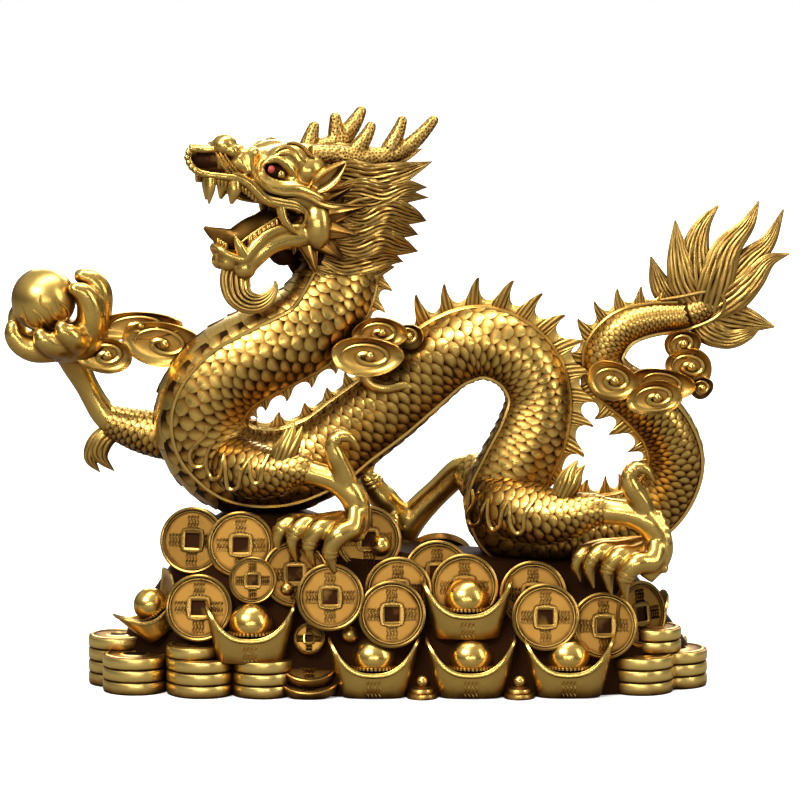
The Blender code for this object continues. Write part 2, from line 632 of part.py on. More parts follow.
def holed_coin(name, centre, facing, radius, sides, into):
    """A coin with its square hole sunk into the front face. facing turns -Y to its front."""
    mesh_data = bmesh.new()
    place = Matrix.Translation(centre) @ facing.to_4x4()
    near, half = -COIN_THICKNESS / 2, COIN_HOLE / 2
    corners = [(half, half), (-half, half), (-half, -half), (half, -half)]

    def points(places):
        return [mesh_data.verts.new(p) for p in places]

    front = points(place_ring(place, radius, near, sides))
    rear = points(place_ring(place, radius, -near, sides))
    mouth = points([place @ Vector((x, near, z)) for x, z in corners])
    floor = points([place @ Vector((x, near + COIN_HOLE_DEPTH, z)) for x, z in corners])
    for k in range(sides):
        j = (k + 1) % sides
        mesh_data.faces.new([front[k], front[j], rear[j], rear[k]])
    mesh_data.faces.new(rear)
    quarter = sides // 4
    for corner in range(4):
        # Each side of the hole faces one quarter of the rim
        first = corner * quarter + quarter // 2
        after = (corner + 1) % 4
        arc = [front[(first + k) % sides] for k in range(quarter + 1)]
        mesh_data.faces.new([*arc, mouth[after], mouth[corner]])
        mesh_data.faces.new([mouth[corner], mouth[after], floor[after], floor[corner]])
    mesh_data.faces.new(floor)
    return new_piece(name, mesh_data, into)


def coin_bed(name, centre, facing, radius, into):
    """The metal behind a coin that stands in front of the mound: from its middle into the mound."""
    place = Matrix.Translation(centre) @ facing.to_4x4()
    across, height = centre.x / UNIT, centre.z / UNIT
    rear = (COIN_BED - mound_face(across, height)) * UNIT
    near = place_ring(place, COIN_BED_SHARE * radius, 0, 6)
    if max(point.y for point in near) < rear:
        loft(name, [near, [Vector((point.x, rear, point.z)) for point in near]], into)


def make_coins(into):
    for i, (across, up, depth, turn, lean, small) in enumerate(COINS):
        facing = Euler((-math.radians(lean), 0, math.radians(turn)), "XYZ").to_matrix()
        radius = SMALL_COIN_RADIUS if small else COIN_RADIUS
        sides = COIN_SIDES if depth < -41 else BACK_COIN_SIDES
        centre = drawn(across, up, depth)
        holed_coin(f"coin_{i}", centre, facing, radius, sides, into)
        if depth < -36:
            coin_bed(f"coin_bed_{i}", centre, facing, radius, into)
    for i, (across, height, lean) in enumerate(BACK_COINS):
        facing = Euler((-math.radians(lean), 0, math.pi), "XYZ").to_matrix()
        centre = Vector((across, mound_face(across, height), height)) * UNIT
        plain_coin(f"back_coin_{i}", centre, facing, COIN_RADIUS, COIN_THICKNESS, into)
    for i, (across, up, depth, lean, share) in enumerate(LEANING_COINS):
        facing = Euler((-math.radians(90 - lean), 0, 0), "XYZ").to_matrix()
        radius, thickness = STACK_COIN_RADIUS * share, STACK_COIN_THICKNESS * share
        plain_coin(f"leaning_coin_{i}", drawn(across, up, depth), facing, radius, thickness, into)


def turned_solid(name, across, depth, levels, into, sides=STACK_SIDES):
    """A solid turned about an upright axis, from pairs of height and radius in metres."""
    axis = Vector((across, depth, 0)) * UNIT
    rings = []
    for level, reach in levels:
        ring = []
        for k in range(sides):
            t = 2 * math.pi * (k + 0.5) / sides
            ring.append(Vector((reach * math.cos(t), reach * math.sin(t), level)) + axis)
        rings.append(ring)
    loft(name, rings, into)


def make_stacks(into):
    """Piles of thick coins. The front ones narrow where one coin meets the next."""
    for i, (across, depth, count, share) in enumerate(STACKS):
        radius = STACK_COIN_RADIUS * share
        levels = [(-UNDERCUT, radius)]
        for k in range(1, count):
            levels.append((k * STACK_COIN_THICKNESS, radius - STACK_GROOVE))
            levels.append(((k + 0.5) * STACK_COIN_THICKNESS, radius))
        levels.append((count * STACK_COIN_THICKNESS, radius - STACK_GROOVE / 2))
        turned_solid(f"stack_{i}", across, depth, levels, into)
    for i, (across, depth, count, share) in enumerate(BACK_STACKS):
        radius = STACK_COIN_RADIUS * share
        levels = [(-UNDERCUT, radius), (count * STACK_COIN_THICKNESS, radius)]
        turned_solid(f"back_stack_{i}", across, depth, levels, into, PLAIN_COIN_SIDES)
    for i, (across, depth) in enumerate(KNOBS):
        levels = [(-UNDERCUT, KNOB_RINGS[0][1] * UNIT)]
        levels += [(high * UNIT, reach * UNIT) for high, reach in KNOB_RINGS]
        turned_solid(f"knob_{i}", across, depth, levels, into, 8)
        top = KNOB_RINGS[-1][0] + 0.6 * KNOB_BALL
        ball(f"knob_ball_{i}", Vector((across, depth, top)) * UNIT, [KNOB_BALL * UNIT] * 3, into)


def ingot(name, place, share, into):
    """A boat-shaped ingot: its rim rises to both ends, and a dome stands in the middle."""
    long, deep, high = (0.52 * share * INGOT_LENGTH, 0.5 * share * INGOT_DEPTH, share * INGOT_HEIGHT)

    def ring(share_long, share_deep, low, rise):
        points = []
        for k in range(INGOT_SIDES):
            t = 2 * math.pi * (k + 0.5) / INGOT_SIDES
            lift = rise * abs(math.cos(t)) ** 2
            across, depth = long * share_long * math.cos(t), deep * share_deep * math.sin(t)
            points.append(place @ Vector((across, depth, low + lift)))
        return points

    rings = [
        ring(0.72, 0.76, -UNDERCUT, 0),
        ring(1.0, 1.0, 0.46 * high, 0.58 * high),
        ring(0.84, 0.8, 0.46 * high, 0.4 * high),
        ring(0.5, 0.6, 0.4 * high, 0),
    ]
    loft(name, rings, into)
    reach = share * INGOT_DOME_RADIUS
    ball(f"{name}_dome", place @ Vector((0, 0, 0.6 * high)), (reach, 0.9 * reach, 0.5 * high), into)


def make_ingots(into):
    for i, (across, up, depth, turn, roll, share) in enumerate(INGOTS):
        turned = Euler((0, math.radians(roll), math.radians(turn)), "XYZ").to_matrix().to_4x4()
        spot = drawn(across, up, depth)
        spot.z = max(spot.z, 0)
        ingot(f"ingot_{i}", Matrix.Translation(spot) @ turned, share, into)


def make_beads(into):
    for i, (across, up, depth, radius) in enumerate(BEADS):
        ball(f"bead_{i}", drawn(across, up, depth), [radius * UNIT] * 3, into)


def brass(name, colour, roughness):
    material = bpy.data.materials.new(name)
    material.use_nodes = True
    shader = material.node_tree.nodes["Principled BSDF"]
    shader.inputs["Base Color"].default_value = (*colour, 1)
    shader.inputs["Metallic"].default_value = 1
    shader.inputs["Roughness"].default_value = roughness
    return material


def as_guide(piece):
    """Kept out of the object itself: it is only joined to it or cut from it."""
    piece.hide_render = True
    piece.display_type = "WIRE"


def make_casting(pieces):
    """Everything cast as one: the mound with all the rest joined on, cut flat below."""
    casting = make_mound(bpy.context.scene.collection)
    casting.name = "dragon_on_treasure"
    make_trunk(pieces)
    make_fin(pieces)
    make_head(pieces)
    for word, limb in LIMBS.items():
        make_limb(word, limb, pieces)
    make_pearl_claw(pieces)
    make_clouds(pieces)
    make_tail_hair(pieces)
    make_coins(pieces)
    make_stacks(pieces)
    make_ingots(pieces)
    make_beads(pieces)
    for piece in pieces.objects:
        as_guide(piece)
    join = casting.modifiers.new("cast as one", "BOOLEAN")
    join.operation = "UNION"
    join.operand_type = "COLLECTION"
    join.collection = pieces
    # The exact solver leaves open edges where this many pieces meet
    join.solver = "MANIFOLD"
    flat = casting.modifiers.new("facets that are nearly flat", "DECIMATE")
    flat.decimate_type = "DISSOLVE"
    flat.angle_limit = FLATNESS

    scene = bpy.context.scene.collection
    seat = round_ball("pearl_seat", pearl_centre(), PEARL_RADIUS + PEARL_CLEARANCE, scene)
    floor = new_piece("floor_cut", floor_block(), scene)
    for cutter, word in ((seat, "seat of the pearl"), (floor, "flat underside")):
        as_guide(cutter)
        cut = casting.modifiers.new(word, "BOOLEAN")
        cut.operation = "DIFFERENCE"
        cut.object = cutter
        cut.solver = "MANIFOLD"
    return casting


def floor_block():
    """A block whose top is the floor."""
    mesh_data = bmesh.new()
    size = Matrix.Diagonal((2 * FIGURE_LENGTH, FIGURE_LENGTH, 4 * UNDERCUT, 1))
    bmesh.ops.create_cube(mesh_data, size=1, matrix=Matrix.Translation((0, 0, -2 * UNDERCUT)) @ size)
    return mesh_data


def centre_all():
    """Moves every mesh so that the finished box is centred on the origin in X and Y."""
    meshes = [ob.data for ob in bpy.data.objects if "cut" not in ob.name and "seat" not in ob.name]
    points = np.array([vertex.co for mesh in meshes for vertex in mesh.vertices])
    middle = (points.min(axis=0) + points.max(axis=0)) / 2
    shift = Matrix.Translation((-middle[0], -middle[1], 0))
    for ob in bpy.data.objects:
        ob.data.transform(shift)


def main():
    for old in list(bpy.data.objects):
        bpy.data.objects.remove(old, do_unlink=True)
    pieces = bpy.data.collections.new("pieces of the casting")
    bpy.context.scene.collection.children.link(pieces)
    casting = make_casting(pieces)
    casting.data.materials.append(brass("antique brass", (0.62, 0.42, 0.12), 0.32))
    pearl = round_ball("pearl", pearl_centre(), PEARL_RADIUS, bpy.context.scene.collection)
    pearl.data.materials.append(brass("polished brass", (0.68, 0.47, 0.14), 0.2))
    centre_all()


main()
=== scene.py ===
# A cast brass dragon that holds a pearl, on a heap of coins and ingots
import math

import bmesh
import bpy
import numpy as np
from mathutils import Matrix, Vector
from mathutils.kdtree import KDTree


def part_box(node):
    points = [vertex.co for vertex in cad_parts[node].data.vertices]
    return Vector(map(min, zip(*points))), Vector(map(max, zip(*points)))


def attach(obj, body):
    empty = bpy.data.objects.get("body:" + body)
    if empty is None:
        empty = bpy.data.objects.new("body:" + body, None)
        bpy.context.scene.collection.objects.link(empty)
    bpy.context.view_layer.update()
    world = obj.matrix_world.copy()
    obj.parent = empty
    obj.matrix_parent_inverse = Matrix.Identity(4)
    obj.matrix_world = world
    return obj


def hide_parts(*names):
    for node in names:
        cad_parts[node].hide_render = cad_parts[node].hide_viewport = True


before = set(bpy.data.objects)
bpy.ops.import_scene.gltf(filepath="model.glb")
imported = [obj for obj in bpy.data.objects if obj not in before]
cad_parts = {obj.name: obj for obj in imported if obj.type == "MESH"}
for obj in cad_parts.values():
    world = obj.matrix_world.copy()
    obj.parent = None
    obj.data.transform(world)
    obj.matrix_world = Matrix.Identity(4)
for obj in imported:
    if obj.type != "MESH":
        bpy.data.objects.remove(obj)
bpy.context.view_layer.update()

# The front drawing is in millimetres. It looks down a little, and its zero line is the front foot
drawing = {
    "unit": 0.001,
    "tilt": math.radians(8),
    "frontDepth": 60,
    "pearlAt": (-177.54, 198.53, -3.96),
}
tiltSin, tiltCos = math.sin(drawing["tilt"]), math.cos(drawing["tilt"])


def drawn(rows):
    # across, up and depth to x, y, z. Further columns stay as they are
    out = np.array(rows, float)
    up, depth = out[..., 1].copy(), out[..., 2].copy()
    out[..., 1] = depth
    out[..., 2] = (up - (depth + drawing["frontDepth"]) * tiltSin) / tiltCos
    return out


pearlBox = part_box("pearl")
pearlMiddle = np.array((pearlBox[0] + pearlBox[1]) / 2)
pearlRadius = (pearlBox[1].x - pearlBox[0].x) / 2 / drawing["unit"]
# The drawing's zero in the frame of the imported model, found from where the pearl is
shift = pearlMiddle - drawn(drawing["pearlAt"]) * drawing["unit"]
shift[2] = 0


# Lines, tubes and sheets. A shape is points, four-sided faces, triangles and how dark each point is, from
# patina and from painted shade

def unitRows(rows):
    return rows / np.linalg.norm(rows, axis=-1)[..., None]


def runAlong(points):
    return np.r_[0, np.cumsum(np.linalg.norm(np.diff(points, axis=0), axis=1))]


def smoothRows(rows, count):
    # rows spaced evenly along the smooth curve through the given ones
    given = np.array(rows, float)
    led = np.vstack([2 * given[0] - given[1], given, 2 * given[-1] - given[-2]])
    share = np.linspace(0, 1, 16, endpoint=False)[:, None]
    runs = []
    for a, b, c, d in zip(led, led[1:], led[2:], led[3:]):
        bend, twist = 2 * a - 5 * b + 4 * c - d, 3 * b - a - 3 * c + d
        runs.append(0.5 * (2 * b + (c - a) * share + bend * share**2 + twist * share**3))
    fine = np.vstack(runs + [given[-1:]])
    gone = runAlong(fine[:, :3])
    stops = np.linspace(0, gone[-1], count)
    return np.column_stack([np.interp(stops, gone, column) for column in fine.T])


def smoothStep(low, high, value):
    t = np.clip((value - low) / (high - low), 0, 1)
    return t * t * (3 - 2 * t)


def tubeOf(rows, count, side=(0, 1, 0)):
    # a line of x, y, z and half width, with the direction of its back and of its near side
    line = smoothRows(rows, count)
    along = unitRows(np.gradient(line[:, :3], axis=0))
    back = unitRows(np.cross(along, side))
    return {
        "run": runAlong(line[:, :3]),
        "centre": line[:, :3],
        "half": np.maximum(line[:, 3], 0.05),
        "along": along,
        "back": back,
        "deep": np.cross(along, back),
    }


def skinPoint(tube, run, turn, lift):
    # a place on a tube's skin: how far along, turned how far from the back, and raised how much
    run, turn, lift = np.broadcast_arrays(run, turn, lift)

    def at(column):
        return np.interp(run, tube["run"], column)

    def vectors(rows):
        return np.stack([at(column) for column in rows.T], -1)

    reach = (at(tube["half"]) + lift)[..., None]
    aside = np.cos(turn)[..., None] * vectors(tube["back"])
    aside = aside + np.sin(turn)[..., None] * vectors(tube["deep"])
    return vectors(tube["centre"]) + reach * aside


def shapeOf(points, quads, tris, dirt):
    return {
        "points": np.asarray(points, float).reshape(-1, 3),
        "quads": np.asarray(quads, int).reshape(-1, 4),
        "tris": np.asarray(tris, int).reshape(-1, 3),
        "dirt": np.asarray(dirt, float).reshape(-1),
    }


def merged(shapes):
    starts = np.cumsum([0] + [len(s["points"]) for s in shapes])
    return shapeOf(
        np.vstack([s["points"] for s in shapes]),
        np.vstack([s["quads"] + at for s, at in zip(shapes, starts)]),
        np.vstack([s["tris"] + at for s, at in zip(shapes, starts)]),
        np.concatenate([s["dirt"] for s in shapes]),
    )


def sheetOf(points, dirt=0.0):
    # rings of points joined by faces, the first and the last one closed by a fan
    rows, cols = points.shape[:2]
    index = np.arange(rows * cols).reshape(rows, cols)
    after = np.roll(index, -1, 1)
    quads = np.stack([index[:-1], after[:-1], after[1:], index[1:]], -1).reshape(-1, 4)
    flat = points.reshape(-1, 3)
    dirt = np.broadcast_to(dirt, (rows, cols)).reshape(-1)
    tris = np.zeros((0, 3), int)
    for ring in (index[0], index[-1]):
        fan = np.stack([ring, np.roll(ring, -1), np.full(cols, len(flat))], -1)
        flat = np.vstack([flat, flat[ring].mean(0)])
        dirt = np.append(dirt, dirt[ring].mean())
        tris = np.vstack([tris, fan])
    return shapeOf(flat, quads, tris, dirt)


# how round a lock's ridges are, and how fast its grooves darken with patina and painted shade
ridgeLook = {"round": 0.7, "soil_and_shade": 1.5}


def ringSheet(rings, soils_and_shade):
    # a sheet with one value of patina and painted shade for each ring
    return sheetOf(np.array(rings), dirt=np.array(soils_and_shade, float)[:, None])


def barOf(tube, sides, flat=1.0, ridges=0, depth=0.0, swirl=0.0, dirt=0.0):
    # a closed bar. Its ridges are round on top with sharp grooves between them
    turns = np.linspace(0, 2 * math.pi, sides, endpoint=False)[None, :]
    share = (tube["run"] / tube["run"][-1])[:, None]
    tops = np.ones((1, sides))
    if ridges:
        tops = np.abs(np.sin((turns + swirl * share) * ridges / 2)) ** ridgeLook["round"]
    reach = tube["half"][:, None] * (1 - depth * (1 - tops))
    aside = np.cos(turns)[..., None] * tube["back"][:, None]
    aside = aside + flat * np.sin(turns)[..., None] * tube["deep"][:, None]
    # the grooves between the ridges darken: patina and painted shade
    soil_and_shade = np.maximum(dirt, (1 - tops) ** ridgeLook["soil_and_shade"] if ridges else 0) + 0 * reach
    return sheetOf(tube["centre"][:, None] + reach[..., None] * aside, dirt=soil_and_shade)


def cordOn(tube, run, turn, lift, half, sides=6):
    # a raised line laid on a tube's skin
    line = skinPoint(tube, run, turn, lift)
    rows = np.column_stack([line, np.full(len(line), half)])
    return barOf(tubeOf(rows, len(line)), sides)


def eggOf(centre, half, axes=np.eye(3), sides=16, dirt=0.0, square=1.0):
    # square below 1 gives rounded blocks
    rings = sides // 2
    down = np.linspace(0, math.pi, rings + 1)[1:-1, None]
    around = np.linspace(0, 2 * math.pi, sides, endpoint=False)[None, :]
    level = np.sin(down)
    ball = np.stack([level * np.cos(around), level * np.sin(around), np.cos(down) + 0 * around], -1)
    whole = sheetOf(ball, dirt=dirt)
    whole["points"][-2], whole["points"][-1] = (0, 0, 1), (0, 0, -1)
    whole["points"] = np.sign(whole["points"]) * np.abs(whole["points"]) ** square
    whole["points"] = np.array(centre) + (whole["points"] * half) @ np.array(axes)
    return whole


# where a plate leaves the skin, how its dome runs along it, and how its sides darken with painted shade
# between the plates
lapLook = {"hinge": 0.12, "dome": (0.7, 0.15), "sideSoilAndShade": 0.35, "sidePower": 8}


def platesOf(tube, run, turn, wide, length, look):
    # overlapping plates or scales on a tube, each closed below and raised at its lip
    across = np.linspace(-1, 1, look["cols"])[None, None, :]
    along, shrink = (np.array(column)[None, :, None] for column in zip(*look["outline"]))
    run, turn, wide, length = (np.asarray(v, float)[:, None, None] for v in (run, turn, wide, length))
    side = across * shrink
    rise = look["rise"] * length * (along - lapLook["hinge"])
    crown = np.sin(math.pi * np.clip(along * lapLook["dome"][0] + lapLook["dome"][1], 0, 1))
    dome = look["dome"] * length * (1 - across**2) * crown
    runs = run + along * length - look["bend"] * length * side**2
    top = skinPoint(tube, runs, turn + side * wide, rise + dome)
    count, rows, cols = top.shape[:3]
    index = np.arange(rows * cols).reshape(rows, cols)
    rim = np.r_[index[0, :-1], index[:-1, -1], index[-1, :0:-1], index[:0:-1, 0]]
    inner = skinPoint(tube, runs + 0 * side, turn + side * wide, -look["sink"] + 0 * side)
    foot = inner.reshape(count, -1, 3)[:, rim]
    face = np.stack([index[:-1, :-1], index[:-1, 1:], index[1:, 1:], index[1:, :-1]], -1)
    under = rows * cols + np.arange(len(rim))
    edge = np.stack([rim, under, np.roll(under, -1), np.roll(rim, -1)], -1)
    quads = np.vstack([face.reshape(-1, 4), edge])
    fan = np.stack([np.full(len(rim) - 2, under[0]), under[1:-1], under[2:]], -1)
    size = rows * cols + len(rim)
    starts = (np.arange(count) * size)[:, None, None]
    # painted shadow and patina: dark where the plate before lies over it, at the sides and all round the
    # foot
    sides = lapLook["sideSoilAndShade"] * np.abs(across) ** lapLook["sidePower"]
    soil_and_shade = smoothStep(*look["soil_and_shade"], along) + sides + 0 * top[..., 0]
    points = np.concatenate([top.reshape(count, -1, 3), foot], 1)
    dirt = np.concatenate([np.clip(soil_and_shade, 0, 1).reshape(count, -1), np.ones((count, len(rim)))], 1)
    return shapeOf(points, quads[None] + starts, fan[None] + starts, dirt)


def rowsAlong(tube, start, stop, pitch):
    # where rows come, when the pitch between them changes along the tube
    fine = np.linspace(start, stop, 600)
    wide = pitch(np.interp(fine, tube["run"], tube["half"]))
    gone = np.r_[0, np.cumsum(np.diff(fine) / wide[1:])]
    return np.interp(np.arange(0, gone[-1]), gone, fine)


def flatMesh(name, shape, scale=1.0, move=(0, 0, 0)):
    mesh = bpy.data.meshes.new(name)
    quads, tris = shape["quads"], shape["tris"]
    mesh.vertices.add(len(shape["points"]))
    mesh.vertices.foreach_set("co", (shape["points"] * scale + np.array(move)).ravel())
    mesh.loops.add(4 * len(quads) + 3 * len(tris))
    mesh.loops.foreach_set("vertex_index", np.concatenate([quads.ravel(), tris.ravel()]))
    mesh.polygons.add(len(quads) + len(tris))
    starts = [np.arange(len(quads)) * 4, 4 * len(quads) + np.arange(len(tris)) * 3]
    mesh.polygons.foreach_set("loop_start", np.concatenate(starts))
    mesh.update(calc_edges=True)
    return mesh


def grown(shapes, voxel, rounds):
    # overlapping shapes grown into one skin and smoothed
    mesh = flatMesh("grown", merged(shapes))
    thing = bpy.data.objects.new("grown", mesh)
    bpy.context.scene.collection.objects.link(thing)
    remesh = thing.modifiers.new("skin", "REMESH")
    remesh.mode = "VOXEL"
    remesh.voxel_size = voxel
    soften = thing.modifiers.new("soften", "SMOOTH")
    soften.factor = 0.5
    soften.iterations = rounds
    done = thing.evaluated_get(bpy.context.evaluated_depsgraph_get()).to_mesh()
    points = np.zeros(len(done.vertices) * 3)
    done.vertices.foreach_get("co", points)
    corners = np.zeros(len(done.loops), int)
    done.loops.foreach_get("vertex_index", corners)
    sizes = np.zeros(len(done.polygons), int)
    done.polygons.foreach_get("loop_total", sizes)
    starts = np.zeros(len(done.polygons), int)
    done.polygons.foreach_get("loop_start", starts)
    quads = corners[starts[sizes == 4][:, None] + np.arange(4)]
    tris = corners[starts[sizes == 3][:, None] + np.arange(3)]
    bpy.data.objects.remove(thing)
    bpy.data.meshes.remove(mesh)
    return shapeOf(points, quads, tris, hollowPatinaAndShade(points.reshape(-1, 3), quads, tris))


def hollowPatinaAndShade(points, quads, tris, reach=0.35):
    # patina and painted shade where a skin is hollow: how far each point lies below the middle of its
    # neighbours
    edges = [face[:, [k, (k + 1) % face.shape[1]]] for face in (quads, tris) for k in range(face.shape[1])]
    edges = np.vstack(edges)
    count = np.bincount(edges.ravel(), minlength=len(points)).clip(1)
    normal = np.zeros_like(points)
    face = np.cross(points[quads[:, 2]] - points[quads[:, 0]], points[quads[:, 3]] - points[quads[:, 1]])
    for corner in range(4):
        for axis in range(3):
            normal[:, axis] += np.bincount(quads[:, corner], face[:, axis], len(points))
    normal /= np.linalg.norm(normal, axis=1)[:, None] + 1e-9

    def spread(values):
        total = np.zeros_like(values)
        for a, b in ((0, 1), (1, 0)):
            for axis in range(values.shape[1]):
                total[:, axis] += np.bincount(edges[:, a], values[edges[:, b], axis], len(points))
        return total / count[:, None]

    middle = spread(spread(points))
    depth = ((middle - points) * normal).sum(1)
    dirt = np.clip(depth / reach, 0, 1)[:, None]
    return spread(dirt)[:, 0]


def newPiece(name, shapes, material, smoothAngle=38, node="dragon_on_treasure"):
    # one visible piece that rides on the casting. Edges sharper than the angle stay crisp
    whole = merged(shapes)
    whole["points"][:, 2] = np.maximum(whole["points"][:, 2], 0)
    mesh = flatMesh(name, whole, drawing["unit"], shift)
    # each point's patina and painted shade, which the brass materials read
    dirt = mesh.attributes.new("dirt", "FLOAT", "POINT")
    dirt.data.foreach_set("value", whole["dirt"].astype(np.float32))
    tidy = bmesh.new()
    tidy.from_mesh(mesh)
    bmesh.ops.recalc_face_normals(tidy, faces=tidy.faces)
    tidy.to_mesh(mesh)
    tidy.free()
    mesh.shade_smooth()
    mesh.set_sharp_from_angle(angle=math.radians(smoothAngle))
    mesh.materials.append(material)
    piece = bpy.data.objects.new(name, mesh)
    bpy.context.scene.collection.objects.link(piece)
    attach(piece, "root")
    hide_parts(node)
    print(f"{name}: {2 * len(whole['quads']) + len(whole['tris'])} triangles")
    return piece


# Shared effects of the materials

def newGroup(name, inputs, outputs):
    # every socket is a number: the inputs with what they are by themselves, the outputs by name
    group = bpy.data.node_groups.new(name, "ShaderNodeTree")
    for word, value in inputs.items():
        socket = group.interface.new_socket(word, in_out="INPUT", socket_type="NodeSocketFloat")
        socket.default_value = value
    for word in outputs:
        group.interface.new_socket(word, in_out="OUTPUT", socket_type="NodeSocketFloat")
    return group, group.nodes.new("NodeGroupInput"), group.nodes.new("NodeGroupOutput")


def addNode(tree, kind, settings=None, inputs=None):
    node = tree.nodes.new(kind)
    for word, value in (settings or {}).items():
        setattr(node, word, value)
    for word, value in (inputs or {}).items():
        if hasattr(value, "is_linked"):
            tree.links.new(value, node.inputs[word])
        else:
            node.inputs[word].default_value = value
    return node


def addMath(tree, operation, first, second=0.0, clamp=False):
    settings = {"operation": operation, "use_clamp": clamp}
    return addNode(tree, "ShaderNodeMath", settings, {0: first, 1: second}).outputs[0]


patinaShadeLook = {
    "cornerPower": 1.3, "cornerSamples": 6,
    # the upright part of the normal where a face begins to count as facing down, and where it wholly does.
    # What faces down is darkened as painted shade
    "downFrom": 0.15, "downTo": -0.95,
    "cloudSize": 90.0, "cloudDetail": 4.0, "thin": 0.72, "thick": 1.2,
}
grainLook = {"broad": 60.0, "detail": 3.0}


def makePatinaShadeGroup():
    # how dark the patina and painted shade are: in the carved hollows and in corners, and painted shade on
    # what faces down
    inputs = {"PatinaAndShade": 0.0, "Carved": 1.0, "CornerPatinaAndShade": 1.0, "ShadeBelow": 0.4, "Reach": 0.006}
    group, given, made = newGroup("patina and painted shade in the hollows", inputs, ["Mask"])
    # ambient occlusion darkens corners and the gaps between pieces: patina and painted shade
    corner = addNode(group, "ShaderNodeAmbientOcclusion", {"samples": patinaShadeLook["cornerSamples"]}, {
        "Distance": given.outputs["Reach"]})
    closed = addMath(group, "SUBTRACT", 1.0, corner.outputs["AO"], True)
    closed = addMath(group, "POWER", closed, patinaShadeLook["cornerPower"])
    closed = addMath(group, "MULTIPLY", closed, given.outputs["CornerPatinaAndShade"])
    carved = addMath(group, "MULTIPLY", given.outputs["PatinaAndShade"], given.outputs["Carved"])
    # faces that look down are darkened: painted shade
    surface = addNode(group, "ShaderNodeNewGeometry")
    upward = addNode(group, "ShaderNodeSeparateXYZ", inputs={"Vector": surface.outputs["Normal"]})
    down = addNode(group, "ShaderNodeMapRange", inputs={
        "Value": upward.outputs["Z"], "From Min": patinaShadeLook["downFrom"], "From Max": patinaShadeLook["downTo"]})
    down = addMath(group, "MULTIPLY", down.outputs["Result"], given.outputs["ShadeBelow"])
    place = addNode(group, "ShaderNodeTexCoord")
    cloudy = addNode(group, "ShaderNodeTexNoise", inputs={
        "Vector": place.outputs["Object"], "Scale": patinaShadeLook["cloudSize"],
        "Detail": patinaShadeLook["cloudDetail"]})
    uneven = addNode(group, "ShaderNodeMapRange", inputs={
        "Value": cloudy.outputs["Fac"], "From Min": 0.3, "From Max": 0.7,
        "To Min": patinaShadeLook["thin"], "To Max": patinaShadeLook["thick"]})
    both = addMath(group, "ADD", addMath(group, "MAXIMUM", carved, closed), down)
    mask = addMath(group, "MULTIPLY", both, uneven.outputs["Result"], True)
    group.links.new(mask, made.inputs["Mask"])
    return group


def makeGrainGroup():
    # the faint unevenness of a hand-finished casting, as a height and as a change of gloss
    inputs = {"Scale": 900.0, "Height": 1.0, "Gloss": 0.28, "Uneven": 0.12}
    group, given, made = newGroup("cast grain", inputs, ["Height", "Roughness"])
    place = addNode(group, "ShaderNodeTexCoord")
    fine = addNode(group, "ShaderNodeTexNoise", inputs={
        "Vector": place.outputs["Object"], "Scale": given.outputs["Scale"], "Detail": grainLook["detail"]})
    broad = addNode(group, "ShaderNodeTexNoise", inputs={
        "Vector": place.outputs["Object"], "Scale": grainLook["broad"], "Detail": grainLook["detail"]})
    height = addMath(group, "MULTIPLY", fine.outputs["Fac"], given.outputs["Height"])
    group.links.new(height, made.inputs["Height"])
    change = addMath(group, "SUBTRACT", broad.outputs["Fac"], 0.5)
    change = addMath(group, "MULTIPLY", change, given.outputs["Uneven"])
    group.links.new(addMath(group, "ADD", change, given.outputs["Gloss"]), made.inputs["Roughness"])
    return group


patinaShadeGroup, grainGroup = makePatinaShadeGroup(), makeGrainGroup()
print("material groups built")


def newMaterial(name):
    material = bpy.data.materials.new(name)
    material.use_nodes = True
    return material, material.node_tree, material.node_tree.nodes["Principled BSDF"]


def brassMaterial(name, look):
    material, tree, shader = newMaterial(name)
    # the patina and painted shade of each point drive the colour ramp
    soil_and_shade = addNode(tree, "ShaderNodeAttribute", {"attribute_name": "dirt"})
    patinaShade = addNode(tree, "ShaderNodeGroup", {"node_tree": patinaShadeGroup}, {
        "PatinaAndShade": soil_and_shade.outputs["Fac"], "Carved": look["carved"], "CornerPatinaAndShade": look["corners"],
        "ShadeBelow": look["below"], "Reach": look["reach"]})
    grain = addNode(tree, "ShaderNodeGroup", {"node_tree": grainGroup}, {
        "Scale": look["grain"], "Height": 1.0, "Gloss": look["gloss"], "Uneven": look["uneven"]})
    ramp = addNode(tree, "ShaderNodeValToRGB", inputs={"Fac": patinaShade.outputs["Mask"]})
    clean, black = ramp.color_ramp.elements
    clean.position, middlePlace, black.position = look["steps"]
    clean.color = (*look["bright"], 1)
    black.color = (*look["dark"], 1)
    middle = ramp.color_ramp.elements.new(middlePlace)
    middle.color = (*look["middle"], 1)
    tree.links.new(ramp.outputs["Color"], shader.inputs["Base Color"])
    rough = addNode(tree, "ShaderNodeMapRange", inputs={
        "Value": patinaShade.outputs["Mask"], "To Min": 0.0, "To Max": look["dull"]})
    total = addMath(tree, "ADD", grain.outputs["Roughness"], rough.outputs["Result"], True)
    tree.links.new(total, shader.inputs["Roughness"])
    bump = addNode(tree, "ShaderNodeBump", inputs={
        "Height": grain.outputs["Height"], "Strength": look["bump"], "Distance": look["grainHeight"]})
    tree.links.new(bump.outputs["Normal"], shader.inputs["Normal"])
    shader.inputs["Metallic"].default_value = 1.0
    return material


